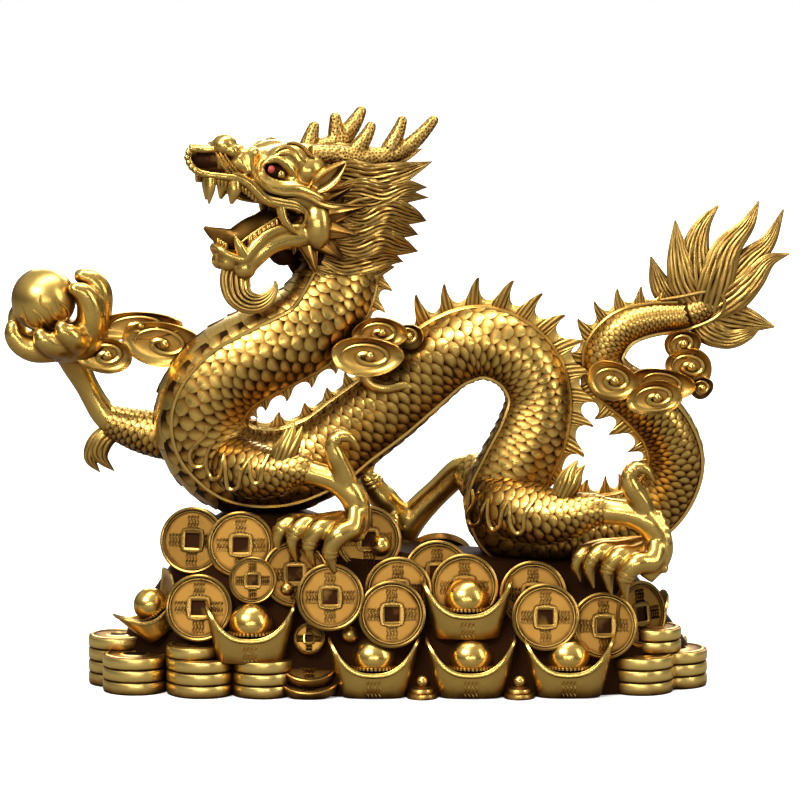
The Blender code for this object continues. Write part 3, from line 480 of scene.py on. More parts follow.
brassLook = {
    # the metal, the same under a thin patina and under a thick one, and where each begins. Painted shade
    # darkens it through the same tones
    "bright": (0.80, 0.52, 0.125), "middle": (0.39, 0.19, 0.036), "dark": (0.035, 0.013, 0.005),
    "steps": (0.08, 0.5, 0.95),
    # how much patina and painted shade there is in the carving and in corners, how much painted shade below,
    # and how far a corner reaches
    "carved": 1.0, "corners": 1.15, "below": 0.55, "reach": 0.008,
    "grain": 900.0, "grainHeight": 0.0002, "gloss": 0.26, "uneven": 0.14, "dull": 0.3, "bump": 0.15,
}
brass = brassMaterial("antique brass", brassLook)
smoothBrass = brassMaterial("buffed brass", {**brassLook, "gloss": 0.24, "corners": 0.9, "bump": 0.1})
coinBrass = brassMaterial("coin brass", {
    **brassLook, "bright": (0.36, 0.205, 0.045), "gloss": 0.25, "corners": 1.7})
# the stacks get a brighter copy of the brass: painted light
brightenedStackBrass = brassMaterial("brightened stack brass", {**brassLook, "bright": (1.0, 0.70, 0.20), "gloss": 0.30})
# the heap core between the coins is darkened more: painted shade in the gaps
gapShadeBrass = brassMaterial("brass with painted shade in the gaps", {**brassLook, "carved": 1.5, "gloss": 0.45})
hairBrass = brassMaterial("hair brass", {
    **brassLook, "bright": (0.60, 0.385, 0.10), "carved": 1.4, "corners": 1.25})
hornBrass = brassMaterial("horn brass", {
    **brassLook, "bright": (0.60, 0.385, 0.10), "gloss": 0.33, "corners": 0.9})
pearlBrass = brassMaterial("polished brass", {
    **brassLook, "gloss": 0.30, "below": 0.2, "corners": 0.8, "bump": 0.05})

redLook = {"deep": (0.30, 0.03, 0.02), "light": (0.62, 0.10, 0.06), "cloudSize": 700.0, "gloss": 0.25}


def redMaterial():
    material, tree, shader = newMaterial("red eye paint")
    place = addNode(tree, "ShaderNodeTexCoord")
    cloudy = addNode(tree, "ShaderNodeTexNoise", inputs={
        "Vector": place.outputs["Object"], "Scale": redLook["cloudSize"]})
    ramp = addNode(tree, "ShaderNodeValToRGB", inputs={"Fac": cloudy.outputs["Fac"]})
    for element, tone in zip(ramp.color_ramp.elements, ("deep", "light")):
        element.color = (*redLook[tone], 1)
    tree.links.new(ramp.outputs["Color"], shader.inputs["Base Color"])
    shader.inputs["Roughness"].default_value = redLook["gloss"]
    return material


redPaint = redMaterial()
print("materials built")


# The trunk

# across, up, depth, half width, from inside the mane to the end of the tail
trunkRows = [
    (-25, 240, 8, 15), (-27.5, 219, 4, 18.5), (-34, 202, -1, 21.5), (-46, 186, -6, 22.5),
    (-66, 175, -8, 23), (-87, 163, -6, 23), (-99, 146, -3, 23.5), (-97, 128, 1, 24), (-82, 115, 3, 24),
    (-60, 113.5, 4, 23), (-39, 121.5, 4, 21.5), (-24, 133, 3, 20.5), (-7, 146, 1, 20), (9, 160, -1, 19.5),
    (23, 172, -3, 19.5), (38, 177.5, -4, 19.5), (52, 174.5, -5, 18.5), (63.5, 165, -5, 17.5),
    (69, 150, -5, 17), (65.5, 132, -5, 18.5), (57, 114.5, -4, 19), (50.5, 98.5, -1, 19), (56, 84.5, 3, 19),
    (73, 81.5, 7, 18.5), (93, 83.5, 9, 18), (115, 88, 9, 17), (131, 99, 8, 15.5), (138.5, 117, 6, 14.8),
    (133.5, 134, 4, 14), (120, 148.5, 1, 13), (107, 158, -1, 12), (101.5, 168, -2, 11),
    (104, 177, -2, 10.4), (112, 185, -2, 9.6), (125, 189, -1, 8.6), (140, 190.5, 0, 7.8),
    (149, 193, 0, 6.6),
]
skinLook = {
    # how many places the tube has, and how far the scales' foot lies below the drawn outline
    "places": 700, "below": 0.9,
    "finTurn": math.radians(8),
    "finHalf": math.radians(13),
    "columns": 5,
    # distance of the rows of scales, as a share of a scale's width,
    # and of the belly's plates, as a share of the half width
    "pitch": 0.47, "plate": 0.36,
    # share of the round that the scales take, half their width in columns, and lengths in rows
    "round": 0.68, "half": 0.525, "length": 2.95, "plateLength": 1.36,
    # the cord beside the belly: half width, distance of its places and how high it lies
    "cord": 1.15, "cordStep": 1.6, "cordLift": 1.25,
    # the plain tube below the scales, darkened with patina and with painted shade in the gaps between them
    "tubeSides": 24, "tubeStep": 4, "tubeLift": -0.45, "tubeShadeAndPatina": 0.9,
    # where the front and the rear piece meet, and how far they overlap
    "split": 0.44, "lap": 3, "first": 6,
    # share of the length, how far the belly is turned to the near side, half of its angle, in degrees
    "belly": [(0, 8, 40), (0.1, 14, 42), (0.24, 14, 42), (0.34, 6, 36), (0.45, 0, 32), (1, 0, 32)],
}
trunk = tubeOf(drawn(trunkRows), skinLook["places"])
trunk["half"] = trunk["half"] - skinLook["below"]
trunkLength = trunk["run"][-1]
scaleLook = {
    # along a scale, and its width there
    "outline": ((0, 0.92), (0.55, 1), (0.82, 0.92), (0.94, 0.62), (1, 0.12)),
    "cols": 5, "rise": 0.125, "dome": 0.018, "bend": 0.0, "sink": 0.7, "soil_and_shade": (0.77, 0.64),
}
plateLook = {
    "outline": ((0, 1), (0.36, 1), (1, 1)),
    "cols": 11, "rise": 0.072, "dome": 0.02, "bend": 0.22, "sink": 0.7, "soil_and_shade": (0.38, 0.26),
}


def bellyAt(run):
    shares, turned, half = np.array(skinLook["belly"], float).T
    share = run / trunkLength
    return np.radians(np.interp(share, shares, turned)), np.radians(np.interp(share, shares, half))


def rowSteps(rows):
    return np.r_[np.diff(rows), rows[-1] - rows[-2]]


def trunkSkin(start, stop):
    columns = skinLook["columns"]

    def pitch(half):
        return skinLook["pitch"] * 2 * math.pi * half * skinLook["round"] / (2 * columns)

    rows = rowsAlong(trunk, start, stop, pitch)
    length = rowSteps(rows) * skinLook["length"]
    turned, half = bellyAt(rows)
    spots = []
    for side in (1, -1):
        first = skinLook["finHalf"] + side * skinLook["finTurn"]
        wide = (math.pi - side * turned - half - first) / columns
        for k in range(columns + 1):
            turn = first + (k + (np.arange(len(rows)) % 2) * 0.5) * wide
            spots.append(np.column_stack([rows, side * turn, wide * skinLook["half"], length]))
    shapes = [platesOf(trunk, *np.vstack(spots).T, scaleLook)]
    rows = rowsAlong(trunk, start, stop, lambda half: skinLook["plate"] * half)
    turned, half = bellyAt(rows)
    length = rowSteps(rows) * skinLook["plateLength"]
    shapes.append(platesOf(trunk, rows, math.pi - turned, half, length, plateLook))
    coarse = np.linspace(start, stop, int((stop - start) / skinLook["tubeStep"]))
    turns = np.linspace(0, 2 * math.pi, skinLook["tubeSides"], endpoint=False)
    base = skinPoint(trunk, coarse[:, None], turns[None], skinLook["tubeLift"])
    shapes.append(sheetOf(base, dirt=skinLook["tubeShadeAndPatina"]))
    fine = np.arange(start, stop + 0.1, skinLook["cordStep"])
    turned, half = bellyAt(fine)
    for edge in (math.pi - turned - half, math.pi - turned + half):
        shapes.append(cordOn(trunk, fine, edge, skinLook["cordLift"], skinLook["cord"]))
    return shapes


middleRun = trunkLength * skinLook["split"]
newPiece("trunk_front", trunkSkin(skinLook["first"], middleRun + skinLook["lap"]), brass)
newPiece("trunk_rear", trunkSkin(middleRun, trunkLength - 1), brass)


# The fin along the back
finLook = {
    # where each tip is as a share of the trunk's length, its height, and that of the web after it
    "tips": [
        (0.0443, 8.6, 2.6), (0.0560, 8.2, 2.4), (0.0700, 7, 2.2), (0.0830, 6.4, 2.0), (0.0950, 6.6, 1.8),
        (0.1095, 6.4, 1.6), (0.1316, 6.6, 2.0), (0.152, 6.0, 2.6), (0.175, 5.6, 2.6), (0.215, 5.4, 2.6),
        (0.262, 5.8, 2.6), (0.3076, 8.0, 2.0), (0.3425, 7.0, 2.0), (0.3610, 6.4, 2.0), (0.3800, 7.4, 2.2),
        (0.4000, 8.4, 2.4), (0.4200, 10.0, 2.6), (0.4370, 13.2, 2.4), (0.4521, 15.6, 2.6),
        (0.4649, 14.6, 3.0), (0.4764, 15.2, 3.4), (0.4878, 16.6, 4.4), (0.4993, 17.0, 5.4),
        (0.5110, 15.4, 6.0), (0.5222, 14.4, 6.0), (0.5351, 11.6, 5.6), (0.5460, 12.4, 5.6),
        (0.5565, 12.8, 4.4), (0.5737, 11.6, 3.2), (0.5960, 8.0, 2.6), (0.6220, 7.0, 2.4),
        (0.6480, 7.0, 2.4), (0.6730, 7.4, 2.4), (0.6970, 8.0, 2.4), (0.7200, 9.0, 2.4), (0.7385, 9.8, 2.4),
        (0.7610, 9.4, 2.4), (0.7870, 9.2, 2.6), (0.8130, 9.4, 2.8), (0.8400, 10.6, 3.2),
        (0.8690, 11.6, 3.4), (0.8870, 9.6, 3.4), (0.9010, 9.0, 3.2), (0.9140, 9.6, 3.0),
        (0.9270, 10.8, 2.8), (0.9371, 11.2, 2.8), (0.9471, 11.4, 2.6), (0.9605, 9.8, 2.0),
        (0.9740, 6.4, 1.4),
    ],
    # from the web before a tip to the web after it: how far, and how much of the height over the web
    "spike": [
        (0, 0), (0.16, 0.02), (0.30, 0.12), (0.41, 0.34), (0.51, 0.58), (0.60, 0.78), (0.68, 0.92),
        (0.745, 1.0), (0.765, 0.93), (0.755, 0.76), (0.75, 0.54), (0.775, 0.33), (0.83, 0.15), (0.91, 0.05),
        (1, 0),
    ],
    "tipAt": 0.745,
    # how far the web goes before the first tip and after the last one, and where the fin's cords stop
    "before": 0.8, "after": 0.3, "stop": 0.985,
    # where the grooves begin in the web and how much of it they take
    "grooved": (0.18, 0.72),
    "thick": 1.9, "edge": 0.5, "root": 4, "grooves": 4, "cords": [(0.24, 0.95, 0.9), (0.13, 0.8, 0.7)],
}


def finShapes():
    turn, stop = skinLook["finTurn"], finLook["stop"] * trunkLength
    back = math.cos(turn) * trunk["back"] + math.sin(turn) * trunk["deep"]
    deep = math.cos(turn) * trunk["deep"] - math.sin(turn) * trunk["back"]
    edge = trunk["centre"] + back * trunk["half"][:, None]
    gone, ridge = trunk["run"], runAlong(edge)
    shares, heights, webs = np.array(finLook["tips"], float).T
    tips = np.interp(shares * trunkLength, gone, ridge)
    gaps = np.diff(tips)
    # the lowest place of the web lies a little behind each tip
    webAt = np.r_[tips[:-1] + (1 - finLook["tipAt"]) * gaps, tips[-1] + finLook["after"] * gaps[-1]]
    webAt = np.r_[tips[0] - finLook["before"] * gaps[0], webAt]
    webs = np.r_[webs[0], webs]
    outline = smoothRows([(a, b, 0) for a, b in finLook["spike"]], 22)[:, :2]
    columns = []
    for k, (tip, high) in enumerate(zip(tips, heights)):
        for i, (a, b) in enumerate(outline[:-1]):
            base = i / (len(outline) - 1)
            # along is bent so that the tip comes to its own place
            if a < finLook["tipAt"]:
                along = webAt[k] + (tip - webAt[k]) * (a / finLook["tipAt"])
            else:
                along = tip + (webAt[k + 1] - tip) * ((a - finLook["tipAt"]) / (1 - finLook["tipAt"]))
            web = webs[k] + (webs[k + 1] - webs[k]) * base
            columns.append((webAt[k] + (webAt[k + 1] - webAt[k]) * base, along, web + (high - web) * b,
                            base))
    foot, tip, high, base = np.array(columns).T
    up = np.linspace(0, 1, 7)[None, :]
    along = foot[:, None] * (1 - up) + tip[:, None] * up
    lift = high[:, None] * up - finLook["root"] * (1 - up) ** 3
    low, wide = finLook["grooved"]
    share = np.clip((base - low) / wide, 0, 1)
    groove = np.abs(np.sin(math.pi * finLook["grooves"] * share)) ** ridgeLook["round"]
    groove = np.where((base < low) | (base > low + wide), 1, groove)[:, None]
    fade = smoothStep(0.05, 0.3, up) * smoothStep(0.1, 0.3, (high / high.max())[:, None])
    thick = (finLook["thick"] * (1 - up) + finLook["edge"] * up) * (1 - 0.5 * (1 - groove) * fade)

    def spot(side):
        def at(rows):
            return np.stack([np.interp(along, ridge, column) for column in rows.T], -1)
        return at(edge) + at(back) * lift[..., None] + at(deep) * (side * thick)[..., None]

    # the grooves and the root of the fin are darkened: patina and painted shade
    dirt = np.clip(1.2 * (1 - groove) * fade + 0.5 * smoothStep(0.35, 0.0, up), 0, 1)
    points = np.concatenate([spot(1), spot(-1)[:, ::-1]], 1)
    shapes = [sheetOf(points, dirt=np.concatenate([dirt, dirt[:, ::-1]], 1))]
    runs = np.arange(shares[0] * trunkLength, stop, skinLook["cordStep"])
    for aside, half, lift in finLook["cords"]:
        for side in (1, -1):
            shapes.append(cordOn(trunk, runs, turn + side * aside, lift, half, sides=8))
    return shapes


newPiece("dorsal_fin", finShapes(), brass)
print("trunk and fin built")


# The head. Its own frame: forward, to the near side, up
headLook = {"at": (-49.2, 247.2, -6), "turn": math.radians(28), "voxel": 0.86, "smooth": 4, "sides": 28,
            "rows": 26}
turnSin, turnCos = math.sin(headLook["turn"]), math.cos(headLook["turn"])
headAxes = np.array([(-turnCos, -turnSin, 0), (turnSin, -turnCos, 0), (0, 0, 1)])


def inHead(rows, side=1):
    out = np.array(rows, float)
    out[..., 1] *= side
    out[..., :3] = drawn(headLook["at"]) + out[..., :3] @ headAxes
    return out


def headBar(rows, count, sides=12, side=1, **more):
    return barOf(tubeOf(inHead(rows, side), count, side=(turnSin * 0.3, 1, 0)), sides, **more)


def headEgg(at, half, side=1, sides=16, **more):
    return eggOf(inHead(at, side), half, headAxes, sides, **more)


def headLoft(sections):
    # oval sections across the head: forward, middle height, half width, half height
    turns = np.linspace(0, 2 * math.pi, headLook["sides"], endpoint=False)[None, :]
    rows = smoothRows([(f, 0, u, w, h) for f, u, w, h in sections], headLook["rows"])
    points = np.stack([
        rows[:, 0:1] + 0 * turns, rows[:, 3:4] * np.sin(turns),
        rows[:, 2:3] + rows[:, 4:5] * np.cos(turns)], -1)
    return sheetOf(inHead(points))


skull = [(-22, 6, 15, 17), (-10, 8, 18, 20), (2, 10.5, 17, 18.5), (13, 14, 15.5, 15), (24, 15.5, 13.5, 12),
         (35, 18, 12, 9.6), (46, 21.4, 10.4, 8.0), (54, 22.8, 7.2, 7.0), (60, 23.2, 4.2, 6.0),
         (62, 23.4, 2, 4)]
jaw = [(-14, -8, 15, 13), (-2, -13, 14, 12), (10, -18, 11, 5.6), (25, -24, 9, 4.6), (36, -28.5, 7.6, 5.6),
       (42, -27, 6.6, 4.6), (46.5, -23, 4.2, 2.4)]
throat = [(-8, -4, 13, 14), (4, -5, 11.5, 12.5), (12, -5.5, 9, 10.5), (17, -6, 4, 5)]
softForms = {
    "nostril": ((45.4, 6.6, 30.4), (6.4, 5.8, 6.0)),
    "wing of the nostril": ((43.2, 11.4, 28.0), (3.4, 2.8, 3.4)),
    "nose bridge": ((44, 0, 28), (7, 5, 4.6)),
    "muzzle": ((37, 9, 22), (8, 5.2, 7.4)),
    "jowl": ((-1.2, 16, -10.8), (7.4, 6.8, 12.6)),
    "cheek": ((6, 12.5, 2), (12, 6.5, 7)),
    "chin": ((34.5, 6.6, -30.8), (5.8, 5.4, 5.8)),
    "front chin": ((42.5, 4, -27.6), (5, 4.4, 4.6)),
    "temple": ((1, 12.5, 16.5), (9, 6.5, 8)),
    "brow": ((11, 9, 21.6), (13, 8.2, 9.2)),
    "front of the brow": ((30.8, 8.2, 26.2), (3.8, 3.6, 3.6)),
}
farForms = {**softForms, "nostril": ((44, 3.5, 28.4), (5, 4.6, 4.6))}
# forward, side, up, half width
softLines = {
    "upper lid": [(28.4, 12.6, 18.6, 1.4), (26, 13.6, 21.8, 1.9), (21.9, 14.2, 23.2, 2.3),
                  (17.2, 15, 21.4, 2.3), (13, 15.8, 17, 2.0), (10.8, 16.2, 12.6, 1.2)],
    "lower lid": [(28.4, 13.2, 18.4, 1.1), (26.4, 14.6, 14.8, 1.4), (21.9, 15.6, 12.2, 1.6),
                  (16.6, 16.2, 11.4, 1.5), (11.4, 16.4, 12.6, 1.0)],
    "cheekbone": [(32.6, 13, 15.5, 1.8), (28, 15, 11, 2.4), (20, 16.2, 8.6, 3.2), (11.5, 17.2, 8.2, 3.6),
                  (3.5, 18, 5.6, 3.0), (-3, 18.6, 2, 2.2)],
    "upper lip": [(59, 7.4, 17.4, 1.9), (54, 9.4, 16.4, 2.0), (46.4, 12, 15.4, 2.2),
                  (40.5, 13.2, 14.0, 2.4), (35.6, 14.2, 11.0, 2.5), (31.3, 15, 6.6, 2.4),
                  (26.9, 15.6, 2.9, 2.4), (19.7, 16, 1.0, 2.4), (12.5, 16.6, -0.6, 2.2),
                  (8.5, 16.6, -3.6, 1.8)],
    "nose line": [(41, 3, 28.6, 3), (50, 5, 28.2, 2.3), (57, 6, 28.8, 1.9), (62, 5.5, 29.4, 1.9)],
    "front rim": [(62, 5.5, 29.4, 1.9), (64.2, 4.6, 27, 1.8), (64.0, 4.8, 23.6, 1.8), (62.2, 6, 20, 1.9),
                  (59, 7.6, 17.6, 1.9), (54, 9.4, 16.6, 1.8)],
    "lower lip": [(6.9, 14.6, -10.4, 1.8), (15.6, 14, -10.8, 2.5), (22.6, 13, -12.6, 2.8),
                  (28.5, 12, -16.2, 3.0), (32.6, 10.8, -20.7, 3.0), (36.4, 9.2, -26.0, 3.0),
                  (40.0, 8.0, -25.2, 2.6), (43.6, 6.6, -23.6, 2.3), (46.8, 4.4, -21.2, 2.1),
                  (48.2, 0, -19.4, 1.9)],
    "jaw side": [(1, 11.5, -14.5, 6.5), (8, 12, -16.5, 6), (16, 11.6, -17.5, 5), (23, 10.6, -20, 4.8),
                 (28.5, 9, -24.4, 5), (32.5, 7, -28.6, 5)],
    "muzzle fold": [(41, 12.2, 24.6, 1.4), (38.2, 13.2, 20.4, 1.6), (36.4, 13.6, 16.4, 1.4)],
    "muzzle fold behind": [(37, 11.6, 26, 1.2), (34.8, 13, 21, 1.4), (33.6, 13.6, 15.4, 1.2)],
}
# Painted shade inside the mouth and round the eye: from and to of forward, side either way, and up, and how
# dark
shadowed = [
    ((5, 54), (0, 11.6), (-14, 12), 0.9),
    ((13.5, 27.5), (11, 15.6), (13.0, 21.5), 0.95),
]
# painted shade in the hollow between the nose line, the front rim and the lip. Out is how far it lies from
# the skull
nostrilHollowShade = {"forward": (50, 63), "up": (19.5, 27.6), "out": (1.4, 0.2), "dark": 0.95}


def inHeadFrame(points):
    return (points - drawn(headLook["at"])) @ headAxes.T


def within(value, low, high, soft):
    return np.minimum(smoothStep(low - soft, low + soft, value),
                      smoothStep(high + soft, high - soft, value))


def farther(rows, side):
    # the far side of the nose is drawn back, as the photo shows none of it
    out = np.array(rows, float)
    if side < 0:
        back = smoothStep(44, 62, out[:, 0])
        out[:, 0] -= 5 * back
        out[:, 1] *= 1 - 0.25 * back
    return out


def headSkin():
    shapes = [headLoft(skull), headLoft(jaw), headLoft(throat)]
    for side, forms in ((1, softForms), (-1, farForms)):
        shapes += [headEgg(at, half, side, 20) for at, half in forms.values()]
        shapes += [headBar(farther(rows, side), 24, 10, side) for rows in softLines.values()]
    skin = grown(shapes, headLook["voxel"], headLook["smooth"])
    forward, aside, up = inHeadFrame(skin["points"]).T
    aside = np.abs(aside)
    # painted shade inside the mouth, round the eye and in the nose hollow
    for fronts, sides, ups, dark in shadowed:
        inside = np.minimum(within(forward, *fronts, 1), within(up, *ups, 1))
        inside = inside * (aside >= sides[0]) * smoothStep(sides[1] + 0.8, sides[1] - 0.8, aside)
        skin["dirt"] = np.maximum(skin["dirt"], dark * inside)
    wall = np.interp(forward, *np.array([row[0::2] for row in skull])[:, :2].T)
    outer, inner = nostrilHollowShade["out"]
    nostrilShade = within(forward, *nostrilHollowShade["forward"], 1) * within(up, *nostrilHollowShade["up"], 1)
    nostrilShade = nostrilShade * smoothStep(wall + outer, wall + inner, aside)
    skin["dirt"] = np.maximum(skin["dirt"], nostrilHollowShade["dark"] * nostrilShade)
    return skin


# Crisp lines and teeth laid on the head: forward, side, up, half width
lipCord = [(44.5, 12.9, 17.4, 0.5), (40.5, 14.4, 16.2, 0.9), (35.6, 15.8, 13.0, 1.0),
           (31.3, 16.8, 8.8, 1.05), (26.9, 17.4, 5.2, 1.1), (19.7, 18.0, 3.2, 1.1), (12.5, 18.6, 1.6, 1.1),
           (7.4, 18.8, -2.2, 1.0), (6.6, 18.4, -6.6, 0.8), (8.4, 17.4, -10.2, 0.4)]
cheekCord = [(38.4, 9.4, 29.6, 0.7), (35.0, 12.4, 25.3, 1.0), (33.6, 14.4, 19.2, 1.15),
             (31.8, 15.8, 13.8, 1.2), (26.6, 17.4, 8.8, 1.3), (19.1, 18.6, 6.6, 1.4),
             (11.9, 19.6, 6.0, 1.5), (4.8, 20.4, 3.4, 1.5), (-1.3, 20.8, 0.2, 1.4), (-8.3, 21.4, -1.4, 1.3),
             (-14.5, 22.0, -0.4, 1.2), (-20.8, 22.4, 1.8, 1.1), (-29.5, 22.4, 2.6, 0.9),
             (-39.4, 21.4, 2.4, 0.5)]
noseRib = [(51.6, 9.2, 27.6, 0.5), (50.6, 10.4, 24.6, 0.9), (48.2, 11.8, 20.6, 0.95),
           (45.4, 12.8, 17.2, 0.6)]
wrinkles = [
    [(20.6, 13.0, 27.0, 0.4), (18.1, 13.2, 28.4, 0.8), (14.6, 13.6, 29.0, 1.0), (11.4, 14.8, 27.2, 1.0),
     (8.8, 16.2, 23.6, 0.9), (5.9, 17.2, 21.6, 0.4)],
    [(22.4, 13.4, 24.6, 0.4), (18.8, 14.8, 25.8, 0.8), (14.6, 15.8, 25.4, 1.0), (11.2, 16.6, 22.2, 0.9),
     (9.0, 17.0, 19.4, 0.4)],
    [(13.5, 11.4, 30.6, 0.4), (9.6, 12.4, 30.6, 0.8), (5.8, 14.0, 28.6, 0.9), (3.4, 15.6, 25.0, 0.8),
     (0.6, 16.8, 23.0, 0.4)],
]
fangs = {
    "front canine": [(54.2, 8.4, 15, 3.0), (54.6, 9.0, 9.4, 2.5), (55.4, 9.2, 2.4, 0.5)],
    "second canine": [(42.6, 10.8, 13.4, 3.9), (43.0, 11.8, 8.0, 3.5), (44.6, 12, 2.0, 0.8)],
    "rear fang": [(19.4, 15.2, 1.5, 2.7), (18.0, 16.2, -5.6, 2.3), (14.3, 17, -11.0, 1.5),
                  (10.2, 17.2, -14.8, 0.25)],
    "low canine": [(35.4, 8.6, -24.8, 3.9), (38.6, 9.4, -19.8, 2.8), (41.8, 9.8, -13.6, 0.5)],
}
# the far fangs stand farther back
fangBack = 6
# rows of small teeth: the first and the last place, how many, half width and height
teeth = [
    ((53.4, 9.6, 14.2), (46.4, 11.4, 13.2), 4, 0.95, 3.0),
    ((39.4, 12.4, 10.6), (31.0, 13.8, 4.2), 5, 1.05, 2.4),
    ((34.9, 10.6, -17.4), (18.5, 12.8, -8.6), 7, 1.25, 2.6),
    ((47.2, 0.8, -17.2), (43.8, 6.0, -20), 4, 1.0, 2.0),
]
gumCord = [(37, 8.4, -17.4, 0.5), (30, 9.6, -12.8, 0.9), (18.5, 11, -6.4, 0.9), (13, 12, -4.4, 0.5)]
# cords that run side by side: their points, how many places they have, and for each one how many of the
# points it takes, its shift forward, to the side and up, and its share of the width
sideBySide = [
    (lipCord, 60, [(10, (0, 0, 0, 1)), (9, (-1.3, -0.2, -1.9, 0.8)), (9, (-2.2, -0.6, -3.6, 0.7))]),
    (cheekCord, 80, [(14, (0, 0, 0, 1)), (9, (1.2, -0.8, 2.2, 0.7))]),
]
ribShifts = [(0, 0, 0, 1), (-2.2, 0.5, 0, 0.9), (-4.2, 0.8, 0, 0.8)]
# place and half sizes of the dark ball, of what is raised on it and of the red spot
eyes = {
    "dark ball": ((20.6, 12.6, 16.9), (5.2, 3.4, 4.0)),
    "pupil": ((18.6, 15.0, 15.6), (2.3, 1.6, 2.3)),
    "red spot": ((23.9, 14.9, 18.4), (1.9, 1.3, 2.0)),
}
# knobs along the front of the nose: how many, shift and half sizes
rimKnobs = {"count": 7, "shift": (0.9, 0.5, 0), "half": (1.5, 1.5, 1.7)}
tongue = [(14, 0, -8.0, 5), (27, 0.5, -12.4, 6.4), (38, 0.5, -16.6, 5.6), (47, 0.3, -14.0, 3.8),
          (53.6, 0, -10.2, 0.9)]


def toothRow(first, last, count, half, high, side):
    shapes = []
    for k in range(count):
        t = (k + 0.5) / count
        at = [a + (b - a) * t for a, b in zip(first, last)]
        shapes.append(headEgg(at, (half, half, high), side, 12, square=0.6))
    return shapes


def shiftedRows(rows, shifts):
    out = np.array(rows)
    out[:, :3] += np.array(shifts[:3]) * smoothStep(-0.5, 2, np.arange(len(rows)))[:, None]
    out[:, 3] *= shifts[3]
    return out


def headDetails():
    shapes = []
    for side in (1, -1):
        for rows, places, copies in sideBySide:
            for taken, shifts in copies:
                shapes.append(headBar(shiftedRows(rows[:taken], shifts), places, 8, side))
        for shifts in ribShifts:
            rows = np.array(noseRib) * (1, 1, 1, shifts[3]) + (*shifts[:3], 0)
            shapes.append(headBar(rows, 20, 8, side))
        for rows in wrinkles:
            shapes.append(headBar(rows, 26, 8, side))
        back = (fangBack if side < 0 else 0, 0, 0, 0)
        for rows in fangs.values():
            shapes.append(headBar(farther(np.array(rows) - back, side), 14, 14, side))
        for row in teeth:
            shapes += toothRow(*row, side)
        shapes.append(headBar(gumCord, 20, 8, side))
        shapes.append(headEgg(*eyes["dark ball"], side, 24, dirt=1.0))
        shapes.append(headEgg(*eyes["pupil"], side, 20))
        rim = smoothRows(farther(softLines["front rim"][:5], side), rimKnobs["count"])[:, :3]
        shapes += [headEgg(at + rimKnobs["shift"], rimKnobs["half"], side, 12) for at in rim[:-1]]
    shapes.append(headBar(tongue, 26, 16, flat=0.42, dirt=0.55))
    return shapes


def leafOf(rows, normal, profile, thick, steps=22, sides=17):
    # a pointed leaf: rows of x, y, z and half width, its face towards normal, its relief given by profile
    line = smoothRows(rows, steps)
    along = unitRows(np.gradient(line[:, :3], axis=0))
    side = unitRows(np.cross(along, normal))
    face = unitRows(np.cross(side, along))
    across = np.linspace(-1, 1, sides)
    front = line[:, None, :3] + (line[:, 3:4] * across)[..., None] * side[:, None]
    relief = profile(np.abs(across))[None, :] * np.minimum(line[:, 3:4], 4) / 4
    top = front + (thick + relief)[..., None] * face[:, None]
    bottom = front - (0.6 * thick + 0 * relief)[..., None] * face[:, None]
    # the low parts of the relief are darkened: patina and painted shade
    dirt = np.clip((relief.max() - relief) / np.ptp(relief), 0, 1) ** 1.5
    return sheetOf(np.concatenate([top, bottom[:, ::-1]], 1), dirt=np.concatenate([dirt, 0 * dirt], 1))


def earRelief(away):
    return 1.0 * np.exp(-((away - 0.74) / 0.2) ** 2) - 3.4 * np.clip(1 - (away / 0.5) ** 2, 0, 1)


def frillRelief(away):
    return 1.1 * np.exp(-((away - 0.9) / 0.08) ** 2) + 0.9 * np.exp(-(away / 0.1) ** 2) + 0.6 * (1 - away)


ear = [(2.5, 15.6, 7.6, 2.6), (-1.0, 18.6, 10.6, 5.2), (-4.8, 20.6, 13.6, 5.4), (-9.2, 22, 17.6, 3.2),
       (-12.8, 23, 21.2, 0.3)]
# The frill behind the jowl: root and tip of each leaf, and half its width at the root
frill = [
    ((-5, 17, -5), (-22.4, 27.5, -1.0), 6.6), ((-4, 17, -12), (-18.6, 27.5, -15.4), 6.2),
    ((-3, 16.5, -18), (-11.6, 25.5, -28.4), 6.2), ((3.5, 13, -18), (2.6, 20.6, -33.6), 6.2),
    ((-9, 17, 4), (-17, 25.5, 10), 3.8), ((9, 11, -17), (11.9, 16, -24), 4.2),
]
# how far along a leaf, and its share of the width there
frillOutline = [(-0.3, 1.0), (0, 1.0), (0.3, 0.72), (0.65, 0.38), (1, 0.03)]


def frillLeaf(root, tip, half, side):
    root, tip = np.array(root, float), np.array(tip, float)
    rows = [(*(root + (tip - root) * t), half * w) for t, w in frillOutline]
    return leafOf(inHead(rows, side), headAxes[1] * side, frillRelief, 1.0)


antlers = {
    1: [
        [(0, 9.5, 24, 5.0), (-10.7, 11, 23, 5.6), (-24.5, 11.5, 21.6, 5.4), (-38.3, 12, 21.4, 5.0),
         (-50, 13, 24.4, 4.3), (-58.9, 14, 30.5, 3.8), (-66.6, 15, 38.6, 2.8)],
        [(-24, 11, 24, 4.8), (-29.5, 12, 31, 3.9), (-33, 12, 36.8, 2.8)],
        [(-43, 12.5, 25, 4.6), (-47.5, 13, 33, 3.7), (-50, 13, 39, 2.7)],
    ],
    -1: [
        [(-2, 8, 20, 5), (-15, 11, 24, 5.4), (-27, 12, 27, 5.2), (-35, 12, 35, 4.4), (-40, 12, 42, 3.0)],
        [(-7, 9.5, 22, 4.9), (-11, 11, 30, 4.1), (-13.5, 12, 35.5, 3.0)],
        [(-26, 11, 26, 5), (-26, 12, 33, 4.2), (-25.5, 12, 39.5, 3.0)],
    ],
}
# small pits spread evenly over the antlers
stipple = {"seed": 4, "gap": 1.5, "pit": 0.66, "deep": 0.42, "most": 6000, "voxel": 0.62, "smooth": 4}


